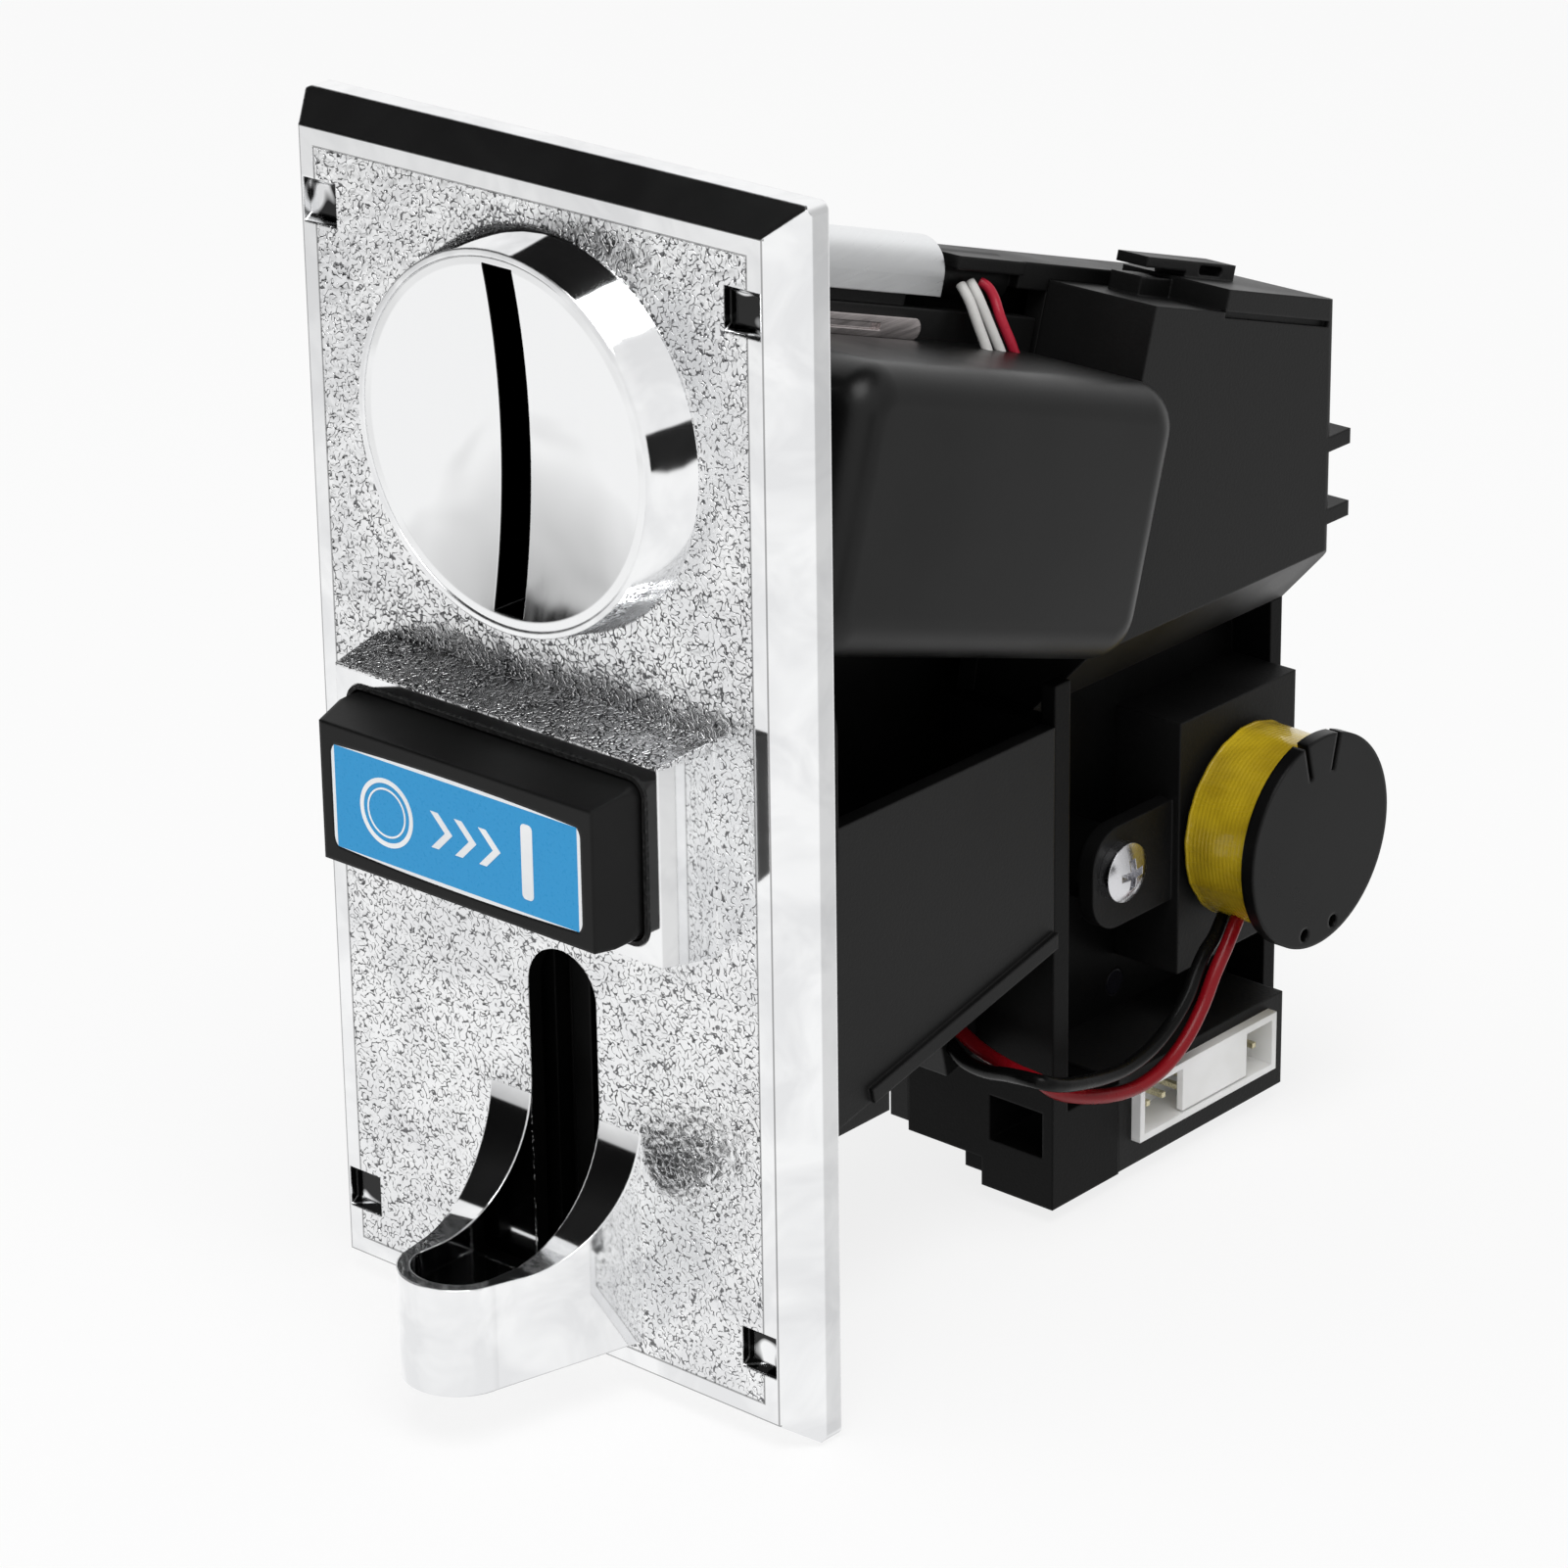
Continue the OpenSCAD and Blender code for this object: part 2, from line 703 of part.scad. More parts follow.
// sensor leads, hinge to cover, as [X, place along the track, place across it]
white_route_a = [
  [5.6, 37.6, 50.9], [6.4, 37.6, 50.2], [7.2, 37.8, 49.2], [8.4, 38.2, 47.2], [9.6, 38.8, 45],
  [10.2, 39, 43.6]
];
white_route_b = [
  [5.6, 39, 51.3], [6.4, 39, 50.6], [7.2, 39.2, 49.6], [8.4, 40, 47.4], [9.6, 41, 45],
  [10.2, 41.5, 43.6]
];
thin_red_route = [
  [5.6, 40.6, 51.4], [6.4, 41.1, 51], [7.2, 41.5, 50], [8.4, 41.6, 48.2], [9.6, 42.6, 45.8],
  [10.2, 43.8, 43.6]
];
// coil leads, from the duct round the loop and up to the coil
red_route = [
  [9.2, 45.9, -42.6], [12.5, 45.4, -43.7], [15.5, 45.1, -44.3], [18.4, 44.9, -44.6],
  [21, 45.1, -44.9], [21.8, 46.4, -46.2], [22.2, 48.4, -47.4], [22.6, 52, -48.8], [22.8, 56, -49.9],
  [22.8, 60.2, -50.4], [22.8, 64.4, -49.7], [22.8, 67.9, -47.8], [22.6, 71, -45.1],
  [22.4, 73.3, -42.2], [22.1, 75.8, -39.8], [21.7, 78.2, -37.5]
];
black_route = [
  [9.2, 44.7, -44.1], [12, 44, -45], [15.5, 43.1, -44.7], [19, 42.2, -43.7], [22.4, 41.3, -42.8],
  [24.4, 41.7, -42.8], [24.8, 43.8, -43.7], [24.6, 46.7, -44.7], [24, 51.6, -46.1],
  [23.4, 56.5, -47], [22.8, 61.4, -46.9], [22.4, 65.5, -45.6], [22, 68.9, -43.6],
  [21.4, 71.3, -41.7], [20.8, 73.6, -40.3], [20.3, 76, -39.4], [19.6, 78.6, -37.9]
];

// place of a point given along and across the track, as [y, z]
function on_track(s, n) = [
  s * cos(track_tilt) + n * sin(track_tilt),
  n * cos(track_tilt) - s * sin(track_tilt)
];

// height at y of the line that runs along the track at n
function track_z(y, n) = (n - y * sin(track_tilt)) / cos(track_tilt);

// height of the chute's floor at y
function chute_z(y) = chute_z0 + y * tan(chute_tilt);

function unit(v) = v / norm(v);

// point at share t between two points of a route, on a smooth curve through all of them
function route_point(p, i, t) =
  let (a = p[max(i - 1, 0)], b = p[i], c = p[i + 1], d = p[min(i + 2, len(p) - 1)])
  b + t * ((c - a) / 2 + t * ((2 * a - 5 * b + 4 * c - d) / 2 + t * (3 * b - a - 3 * c + d) / 2));

function smooth_route(p, steps) = concat(
  [for (i = [0:len(p) - 2]) for (k = [0:steps - 1]) route_point(p, i, k / steps)],
  [p[len(p) - 1]]
);

// side directions along a route, turned as little as possible from ring to ring
function side_ways(heads, i, last) =
  i == len(heads) ? [] :
  let (side = unit(last - (last * heads[i]) * heads[i]))
  concat([side], side_ways(heads, i + 1, side));

function helix(r, length, turns, steps) =
  [for (i = [0:turns * steps]) [
    r * cos(i * 360 / steps),
    r * sin(i * 360 / steps),
    length * i / (turns * steps)
  ]];

module box(x0, x1, y0, y1, z0, z1)
  translate([x0, y0, z0])
    cube([x1 - x0, y1 - y0, z1 - z0]);

// outline drawn in the side view (Y, Z), from x0 to x1
module side_prism(x0, x1)
  translate([x0, 0, 0])
    rotate([90, 0, 90])
      linear_extrude(x1 - x0)
        children();

// outline drawn from above (X, Y), from z0 to z1
module plan_prism(z0, z1)
  translate([0, 0, z0])
    linear_extrude(z1 - z0)
      children();

// outline drawn in the front view (X, Z), from y0 to y1
module face_prism(y0, y1)
  translate([0, y1, 0])
    rotate([90, 0, 0])
      linear_extrude(y1 - y0)
        children();

// round bar along X
module bar_x(y, z, r, x0, x1)
  translate([x0, y, z])
    rotate([0, 90, 0])
      cylinder(r = r, h = x1 - x0, $fn = 64);

// round bar along Y, with radius ra at y0 and rb at y1
module bar_y(x, z, ra, rb, y0, y1)
  translate([x, y0, z])
    rotate([-90, 0, 0])
      cylinder(r1 = ra, r2 = rb, h = y1 - y0, $fn = 96);

// pieces drawn along (Y) and across (Z) the sloping track
module along_track()
  rotate([-track_tilt, 0, 0])
    children();

// rectangle with round corners
module round_rect(a0, a1, b0, b1, r) {
  translate([a0 + r, b0])
    square([a1 - a0 - 2 * r, b1 - b0]);
  translate([a0, b0 + r])
    square([a1 - a0, b1 - b0 - 2 * r]);
  for (a = [a0 + r, a1 - r], b = [b0 + r, b1 - r])
    translate([a, b])
      circle(r = r, $fn = 32);
}

// round tube that follows a path
module tube(path, r, sides, start_side) {
  last = len(path) - 1;
  heads = [for (i = [0:last]) unit(path[min(i + 1, last)] - path[max(i - 1, 0)])];
  ways = side_ways(heads, 0, start_side);
  points = [
    for (i = [0:last])
      for (k = [0:sides - 1])
        path[i] + r * (cos(k * 360 / sides) * ways[i] + sin(k * 360 / sides) * cross(heads[i], ways[i]))
  ];
  skin = [
    for (i = [0:last - 1])
      for (k = [0:sides - 1])
        let (a = i * sides + k, b = i * sides + (k + 1) % sides)
        for (face = [[a, a + sides, b + sides], [a, b + sides, b]])
          face
  ];
  caps = [
    for (k = [1:sides - 2])
      for (face = [[0, k, k + 1], [last * sides, last * sides + k + 1, last * sides + k]])
        face
  ];
  polyhedron(points, concat(skin, caps), convexity = 4);
}

// pan head screw along +Y, its head's underside at the origin
module small_screw(shank_r, shank_l) {
  bar_y(0, 0, shank_r, shank_r, -shank_l, 0);
  difference() {
    bar_y(0, 0, small_head_r, small_head_r * 4 / 5, 0, small_head_h);
    for (turn = [0, 90])
      rotate([0, turn, 0])
        box(-cross_l / 2, cross_l / 2, small_head_h / 2, small_head_h + over, -cross_w / 2, cross_w / 2);
  }
}

// round bar at the coin entry
module entry_bar(r, y0, y1)
  bar_y(coin_x, entry_z, r, r, y0, y1);

// round bars at the two button springs
module spring_bars(r, y0, y1)
  for (side = [-1, 1])
    bar_y(button_x + side * spring_dx, button_z, r, r, y0, y1);

// round bars at the four frame screws
module frame_bars(r, y0, y1)
  for (x = [-frame_screw_x, frame_screw_x], z = [-frame_screw_z, frame_screw_z])
    bar_y(x, z, r, r, y0, y1);

// Front plate

// depth outline of the plate's bevelled edge across a span
module bevel_outline(span)
  polygon([
    [0, -span / 2],
    [-rim_t, -span / 2],
    [plate_face, bevel_in - span / 2],
    [plate_face, span / 2 - bevel_in],
    [-rim_t, span / 2],
    [0, span / 2]
  ]);

module plate_slab()
  intersection() {
    side_prism(-plate_w / 2, plate_w / 2)
      bevel_outline(plate_h);
    plan_prism(-plate_h / 2, plate_h / 2)
      rotate(90)
        bevel_outline(plate_w);
    face_prism(plate_face, 0)
      round_rect(-plate_w / 2, plate_w / 2, -plate_h / 2, plate_h / 2, plate_corner_r);
  }

module recess_outline()
  polygon([
    [-over, -recess_size / 2],
    [0, -recess_size / 2],
    [recess_depth, -recess_size * recess_floor_share / 2],
    [recess_depth, recess_size * recess_floor_share / 2],
    [0, recess_size / 2],
    [-over, recess_size / 2]
  ]);

module corner_recess()
  intersection() {
    side_prism(-recess_size, recess_size)
      recess_outline();
    plan_prism(-recess_size, recess_size)
      rotate(90)
        mirror([1, 0])
          recess_outline();
  }

// box round the button, wider at the plate
module button_box()
  translate([button_x, 0, button_z])
    intersection() {
      side_prism(-button_box_w, button_box_w)
        polygon([
          [wall_face, -button_box_h / 2 - button_box_flare],
          [plate_face, -button_box_h / 2 - button_box_flare],
          [button_box_face, -button_box_h / 2],
          [button_box_face, button_box_h / 2],
          [plate_face, button_box_h / 2 + button_box_flare],
          [wall_face, button_box_h / 2 + button_box_flare]
        ]);
      plan_prism(-button_box_h, button_box_h)
        polygon([
          [-button_box_w / 2 - button_box_flare, wall_face],
          [-button_box_w / 2 - button_box_flare, plate_face],
          [-button_box_w / 2, button_box_face],
          [button_box_w / 2, button_box_face],
          [button_box_w / 2 + button_box_flare, plate_face],
          [button_box_w / 2 + button_box_flare, wall_face]
        ]);
    }

module cup_plan() {
  side_r = cup_nose_r - fit_gap;
  circle(r = cup_nose_r, $fn = 64);
  polygon([
    [-cup_half_w, cup_reach - cup_nose_r],
    [-side_r * cos(cup_angle), side_r * sin(cup_angle)],
    [side_r * cos(cup_angle), side_r * sin(cup_angle)],
    [cup_half_w, cup_reach - cup_nose_r]
  ]);
}

module cup_body()
  difference() {
    plan_prism(cup_bottom_z, cup_top_z)
      translate([coin_x, cup_nose_y])
        cup_plan();
    bar_x(cup_scoop_y, cup_top_z, cup_scoop_r, return_x0 - cup_half_w, return_x1 + cup_half_w);
    side_prism(return_x0 - cup_half_w, return_x1 + cup_half_w)
      polygon([
        [cup_scoop_y, cup_top_z - cup_scoop_r],
        [plate_face - cup_reach - over, cup_rim_z],
        [plate_face - cup_reach - over, cup_top_z + over],
        [cup_scoop_y, cup_top_z + over]
      ]);
  }

// room inside the cup and the slot through the plate
module return_room() {
  bar_nose_y = cup_nose_y + fit_gap;
  plan_prism(return_floor, cup_top_z + over) {
    translate([coin_x, bar_nose_y])
      circle(r = return_w / 2, $fn = 64);
    translate([return_x0, bar_nose_y])
      square([return_w, over - bar_nose_y]);
  }
  face_prism(plate_face - over, over) {
    translate([coin_x, return_top_z - return_w / 2])
      circle(r = return_w / 2, $fn = 64);
    translate([return_x0, return_floor])
      square([return_w, return_top_z - return_w / 2 - return_floor]);
  }
}

module panel_pillar(side_x, side_z) {
  bar_y(side_x * panel_screw_x, side_z * panel_screw_z, pillar_r, pillar_r, wall_face, 0);
  inner_x = panel_screw_x - pillar_r;
  inner_z = panel_screw_z - pillar_r;
  mirror([side_x < 0 ? 1 : 0, 0, 0])
    mirror([0, 0, side_z < 0 ? 1 : 0]) {
      box(panel_screw_x, plate_w / 2 - rim_w + fit_gap, wall_face, 0, inner_z, plate_h / 2 - rim_w + fit_gap);
      box(inner_x, plate_w / 2 - rim_w + fit_gap, wall_face, 0, panel_screw_z, plate_h / 2 - rim_w + fit_gap);
    }
}

module front_plate()
  color([0.86, 0.87, 0.88])
    difference() {
      union() {
        difference() {
          plate_slab();
          box(rim_w - plate_w / 2, plate_w / 2 - rim_w, wall_face, over,
            rim_w - plate_h / 2, plate_h / 2 - rim_w);
        }
        bar_y(coin_x, entry_z, ring_r, ring_r + ring_flare, ring_face, plate_face);
        button_box();
        cup_body();
        intersection() {
          plate_slab();
          for (side_x = [-1, 1], side_z = [-1, 1])
            panel_pillar(side_x, side_z);
        }
        frame_bars(frame_boss_r, wall_face, frame_y0);
      }
      entry_bar(entry_r + fit_gap, ring_face - over, wall_face + over);
      face_prism(button_box_face - over, wall_face + over)
        round_rect(
          button_x - button_opening_w / 2, button_x + button_opening_w / 2,
          button_z - button_opening_h / 2, button_z + button_opening_h / 2,
          button_corner_r + cap_gap + gasket_t
        );
      return_room();
      for (x = [-panel_screw_x, panel_screw_x], z = [-panel_screw_z, panel_screw_z]) {
        bar_y(x, z, panel_hole_r, panel_hole_r, -panel_hole_depth, over);
        translate([x, plate_face, z])
          corner_recess();
      }
      frame_bars(frame_screw_r, frame_y0 - frame_screw_depth, frame_y0 + over);
    }

// Coin entry

module coin_entry()
  color([0.9, 0.9, 0.91])
    difference() {
      union() {
        difference() {
          union() {
            entry_bar(entry_r, entry_face, frame_y0);
            entry_bar(entry_r + entry_flange_w, wall_face, frame_y0);
          }
          entry_bar(entry_r - entry_wall, entry_face + entry_t, over);
        }
        intersection() {
          entry_bar(entry_r, entry_face, frame_y1);
          box(slot_x0 - entry_wall, slot_x1 + entry_wall, entry_face + entry_t / 2, frame_y1,
            slot_z - slot_h, slot_z + slot_h);
        }
      }
      translate([coin_x, entry_face + dish_depth - dish_ball_r, entry_z])
        sphere(r = dish_ball_r, $fn = 180);
      box(slot_x0, slot_x1, entry_face - over, over, slot_z - slot_h / 2, slot_z + slot_h / 2);
    }

// Return button

// outline of the cap, grown by some width all round
module cap_outline(grow)
  round_rect(
    button_x - button_w / 2 - grow, button_x + button_w / 2 + grow,
    button_z - button_h / 2 - grow, button_z + button_h / 2 + grow,
    button_corner_r + max(grow, 0)
  );

module button_gasket()
  color([0.08, 0.08, 0.09])
    difference() {
      face_prism(button_box_face - gasket_proud, wall_face)
        cap_outline(cap_gap + gasket_t);
      face_prism(button_box_face - over, wall_face + over)
        cap_outline(cap_gap);
    }

module cap_nose()
  translate([button_x, 0, button_z])
    intersection() {
      side_prism(-button_w / 2, button_w / 2)
        polygon([
          [cap_step, -button_h / 2],
          [cap_face, button_draft_low - button_h / 2],
          [cap_face, button_h / 2 - button_draft_top],
          [cap_step, button_h / 2]
        ]);
      plan_prism(-button_h / 2, button_h / 2)
        polygon([
          [-button_w / 2, cap_step],
          [button_draft_w - button_w / 2, cap_face],
          [button_w / 2 - button_draft_w, cap_face],
          [button_w / 2, cap_step]
        ]);
    }

// label with rounded corners and slightly bowed long edges
module label_body() {
  bow_r = (label_w * label_w / 4 + label_bow * label_bow) / (2 * label_bow);
  translate([button_x, cap_face, button_z - label_drop])
    intersection() {
      face_prism(0, label_t)
        round_rect(-label_w / 2, label_w / 2, -label_h / 2, label_h / 2, label_corner_r);
      translate([0, 0, label_h / 2 - bow_r])
        rotate([-90, 0, 0])
          cylinder(r = bow_r, h = label_t, $fn = 720);
      translate([0, 0, bow_r - label_h / 2])
        rotate([-90, 0, 0])
          cylinder(r = bow_r, h = label_t, $fn = 720);
    }
}

module button_cap()
  color([0.09, 0.09, 0.1]) {
    spring_bars(spring_pin_r, stop_y1, stop_y1 + spring_pin_l);
    difference() {
      union() {
        intersection() {
          cap_nose();
          face_prism(cap_face, cap_step)
            cap_outline(0);
        }
        face_prism(cap_step, stop_y1)
          cap_outline(0);
        face_prism(stop_y0, stop_y1)
          cap_outline(stop_w);
      }
      difference() {
        union() {
          face_prism(cap_inner, cap_step + cap_wall)
            cap_outline(-cap_wall - button_draft_w);
          face_prism(cap_step + cap_wall, stop_y1 + over)
            cap_outline(-cap_wall);
        }
        spring_bars(post_r, cap_inner - over, stop_y1);
      }
      label_body();
    }
  }

module button_label()
  color([0.24, 0.63, 0.85])
    label_body();

// bar that carries the button's push to the gate, with a sloping end
module push_rod()
  color([0.12, 0.12, 0.13])
    intersection() {
      box(rod_x0, rod_x1, cap_inner, rod_end_y, rod_z0, rod_z0 + rod_h);
      plan_prism(rod_z0, rod_z0 + rod_h)
        polygon([
          [rod_x0, cap_inner],
          [rod_x1, cap_inner],
          [rod_x1, rod_end_y - rod_x1 + rod_x0],
          [rod_x0, rod_end_y]
        ]);
    }

module button_springs()
  color([0.7, 0.7, 0.72])
    for (side = [-1, 1])
      translate([button_x + side * spring_dx, stop_y1 + spring_wire_r, button_z])
        rotate([-90, 0, 0])
          tube(
            helix(button_spring_r, housing_y - stop_y1 - 2 * spring_wire_r, button_spring_turns, 12),
            spring_wire_r, 6, [1, 0, 0]
          );

module lamp_board() {
  lamp_x = button_x - lamp_dx;
  color([0.1, 0.3, 0.18])
    difference() {
      box(button_x - lamp_board_w / 2, button_x + lamp_board_w / 2, lamp_y, housing_y,
        button_z - lamp_board_h / 2, button_z + lamp_board_h / 2);
      rod_hole(lamp_y - over, housing_y + over);
      spring_bars(post_r, lamp_y - over, housing_y + over);
    }
  color([0.9, 0.92, 0.95]) {
    bar_y(lamp_x, button_z, lamp_r, lamp_r, lamp_y - lamp_l, lamp_y);
    bar_y(lamp_x, button_z, lamp_r / 2, lamp_r, lamp_y - lamp_l - lamp_r / 2, lamp_y - lamp_l);
  }
}

// Back frame

module rod_hole(y0, y1)
  box(rod_x0 - part_gap, rod_x1 + part_gap, y0, y1, rod_z0 - part_gap, rod_z0 + rod_h + part_gap);

module frame_plate() {
  half_w = plate_w / 2 - rim_w - part_gap;
  half_h = plate_h / 2 - rim_w - part_gap;
  box(-half_w, half_w, frame_y0, frame_y1,
    pillar_r + part_gap - panel_screw_z, panel_screw_z - pillar_r - part_gap);
  box(pillar_r + part_gap - panel_screw_x, panel_screw_x - pillar_r - part_gap,
    frame_y0, frame_y1, -half_h, half_h);
}

module back_frame()
  color([0.1, 0.1, 0.11]) {
    difference() {
      union() {
        frame_plate();
        face_prism(frame_y0, housing_d)
          cap_outline(stop_w + housing_room + housing_wall);
      }
      face_prism(frame_y0 - over, housing_y)
        cap_outline(stop_w + housing_room);
      rod_hole(housing_y - over, housing_d + over);
      box(slot_x0 - entry_wall, slot_x1 + entry_wall, frame_y0 - over, frame_y1 + over,
        entry_z - entry_r, entry_z + entry_r);
      box(return_x0, return_x1, frame_y0 - over, frame_y1 + over, return_floor, return_top_z);
      frame_bars(frame_screw_r + fit_gap, frame_y0 - over, frame_y1 + over);
    }
    spring_bars(spring_pin_r, housing_y - spring_pin_l, housing_y);
  }

module plate_screws()
  color([0.75, 0.75, 0.77])
    for (x = [-frame_screw_x, frame_screw_x], z = [-frame_screw_z, frame_screw_z])
      translate([x, frame_y1, z])
        small_screw(frame_screw_r, frame_t + frame_screw_depth);

// Chassis

module chassis_outline()
  polygon([
    [frame_y1, track_z(frame_y1, chassis_across)],
    [rear_y, track_z(rear_y, chassis_across)],
    [rear_y, chassis_low_z],
    [post_y, chassis_low_z],
    [post_y, chute_z(post_y) - chute_skin],
    [frame_y1, chute_z(frame_y1) - chute_skin],
    [frame_y1, housing_z0],
    [housing_d + part_gap, housing_z0],
    [housing_d + part_gap, housing_z1],
    [frame_y1, housing_z1]
  ]);

module chassis()
  color([0.11, 0.11, 0.12])
    difference() {
      union() {
        side_prism(chassis_x0, channel_x0)
          chassis_outline();
        box(chassis_x0, drop_x1, rear_wall_y, rear_y, chassis_low_z, track_z(rear_y, chassis_across));
        along_track() {
          box(channel_x0, channel_x0 + ledge_w, ledge_s0, ledge_s1, track_across - ledge_t, track_across);
          box(chassis_x0, gate_x1 - part_gap * 2, knuckle_s0, knuckle_s1, knuckle_across, chassis_across);
          bar_y(hinge_x, hinge_across, knuckle_r, knuckle_r, knuckle_s2, knuckle_s3);
          box(chassis_x0, hinge_x, knuckle_s2, knuckle_s3, hinge_across - knuckle_r, chassis_across);
          box(chassis_x0, hinge_x + knuckle_cap_w, knuckle_s2, knuckle_s3,
            chassis_across - knuckle_cap_t, chassis_across);
          box(chassis_x0, gate_x1, knuckle_s3, rear_s0, chassis_across - knuckle_cap_t * 2, chassis_across);
          box(chassis_x0, gate_x1, rear_s0, groove_s1, rear_across0 - fit_gap, chassis_across);
        }
      }
      along_track() {
        bar_y(hinge_x, hinge_across, hinge_pin_r, hinge_pin_r, knuckle_s0 - over, knuckle_s0 + hinge_pin_l);
        bar_y(hinge_x, hinge_across, sleeve_out_r, sleeve_out_r, knuckle_s1, knuckle_s2);
        box(hinge_x - sleeve_out_r, hinge_x, knuckle_s1, knuckle_s2, hinge_across, chassis_across + over);
      }
      bar_x(eye_y, eye_z, eye_r, chassis_x0 - over, channel_x0 + over);
    }

module channel_wall()
  color([0.12, 0.12, 0.13])
    side_prism(channel_x1, gate_x1)
      polygon([
        on_track(rear_s0, rear_across0 - fit_gap),
        [rear_wall_y, track_z(rear_wall_y, rear_across0 - fit_gap)],
        [rear_wall_y, rear_low_z],
        [rear_front_y, rear_low_z],
        on_track(rear_s0, rear_low_across)
      ]);

// Rear cover

function rear_side(w) = [
  [rear_front_y + w, rear_low_z + w],
  on_track(rear_s0 + w, rear_low_across),
  on_track(rear_s0 + w, rear_across0 - w),
  on_track(rear_step_s + w, rear_across0 - w),
  on_track(rear_step_s + w, rear_across1 - w),
  [rear_y - w, track_z(rear_y - w, rear_across1 - w)],
  [rear_y - w, rear_low_z + w]
];

module rear_shell(w)
  intersection() {
    side_prism(w > 0 ? gate_x1 - over : gate_x1, body_x1 - w)
      polygon(rear_side(w));
    face_prism(post_y, rear_y)
      polygon([
        [gate_x1 - over, rear_low_z + w],
        [body_x1 - rear_chamfer_w - w / 2, rear_low_z + w],
        [body_x1 - w, rear_chamfer_z + w / 2],
        [body_x1 - w, plate_h / 2],
        [gate_x1 - over, plate_h / 2]
      ]);
    plan_prism(rear_low_z, plate_h / 2)
      round_rect(0, body_x1 - w, 0, rear_y - w, rear_edge_r);
  }

module cable_clip()
  along_track() {
    hole_s = (clip_s1 + clip_s2) / 2;
    hole_across = (rear_across1 + clip_across1) / 2;
    difference() {
      box(clip_x0, clip_x0 + clip_w, clip_s1, clip_s2, rear_across1 - cover_wall, clip_across1);
      for (s = [hole_s - clip_hole_l / 2, hole_s + clip_hole_l / 2])
        bar_x(s, hole_across, clip_hole_r, clip_x0 - over, clip_x0 + clip_w + over);
      box(clip_x0 - over, clip_x0 + clip_w + over, hole_s - clip_hole_l / 2, hole_s + clip_hole_l / 2,
        hole_across - clip_hole_r, hole_across + clip_hole_r);
    }
    box(clip_x0, clip_x0 + clip_w, clip_s0, clip_s1, clip_across1 - clip_t, clip_across1);
    box(clip_x0, clip_x0 + clip_w, clip_lip_s, rear_step_s + cover_wall, rear_across0 - cover_wall,
      rear_across0 + clip_lip_h);
  }

module rear_cover()
  color([0.12, 0.12, 0.13]) {
    difference() {
      rear_shell(0);
      rear_shell(cover_wall);
      along_track()
        box(body_x1 - groove_w, body_x1 + over, rear_step_s, groove_s1,
          groove_across - groove_w, groove_across);
    }
    for (z = [hook_z0, hook_z1])
      box(body_x1 - hook_w, body_x1, rear_y - rear_edge_r, rear_y + hook_l, z, z + hook_h);
    cable_clip();
  }

// Return chute

// pieces drawn across the chute, with Y up its slope and Z at right angles to its floor
module along_chute()
  translate([0, 0, chute_z0])
    rotate([chute_tilt, 0, 0])
      children();

module return_chute()
  color([0.13, 0.13, 0.14])
    difference() {
      intersection() {
        union() {
          along_chute() {
            face_prism(-post_y, post_y * 2)
              polygon([
                [channel_x0, -wall_t],
                [gutter_x1 + wall_t / 2, -wall_t],
                [body_x1, rib_v],
                [body_x1, plate_h],
                [body_x1 - wall_t, plate_h],
                [body_x1 - wall_t, chute_side_h],
                [gutter_x1, 0],
                [channel_x0, 0]
              ]);
            box(body_x1 - wall_t / 2, body_x1 + rib_d, chute_front_l, post_y * 2, rib_v, rib_v + rib_h);
            face_prism(duct_s0, post_y * 2)
              polygon([
                [duct_x0, -duct_h],
                [duct_x1, -duct_h],
                [duct_x1, (duct_x1 - gutter_x1) * chute_grade - wall_t / 2],
                [gutter_x1, -wall_t / 2],
                [duct_x0, -wall_t / 2]
              ]);
          }
          box(body_x1 - wall_t + fit_gap, body_x1 - fit_gap, frame_y1, chute_front_l,
            chute_front_z, chute_z(chute_front_l) + chute_side_h);
        }
        box(channel_x0 - over, body_x1 + over, frame_y1, post_y, cup_bottom_z, chute_top_z);
      }
      box(chassis_x0, body_x1 + over, frame_y1 - over, housing_d + part_gap, housing_z0, over);
    }

// Lower body

module return_floor_outline(t)
  polygon([
    [post_y1 - over, return_floor_z - t],
    [return_floor_y, return_floor_z + return_floor_rise - t],
    [return_floor_y, return_floor_z + return_floor_rise],
    [post_y1 - over, return_floor_z]
  ]);

module blade_slope()
  translate([0, blade_y, blade_z])
    rotate([chute_tilt, 0, 0])
      children();

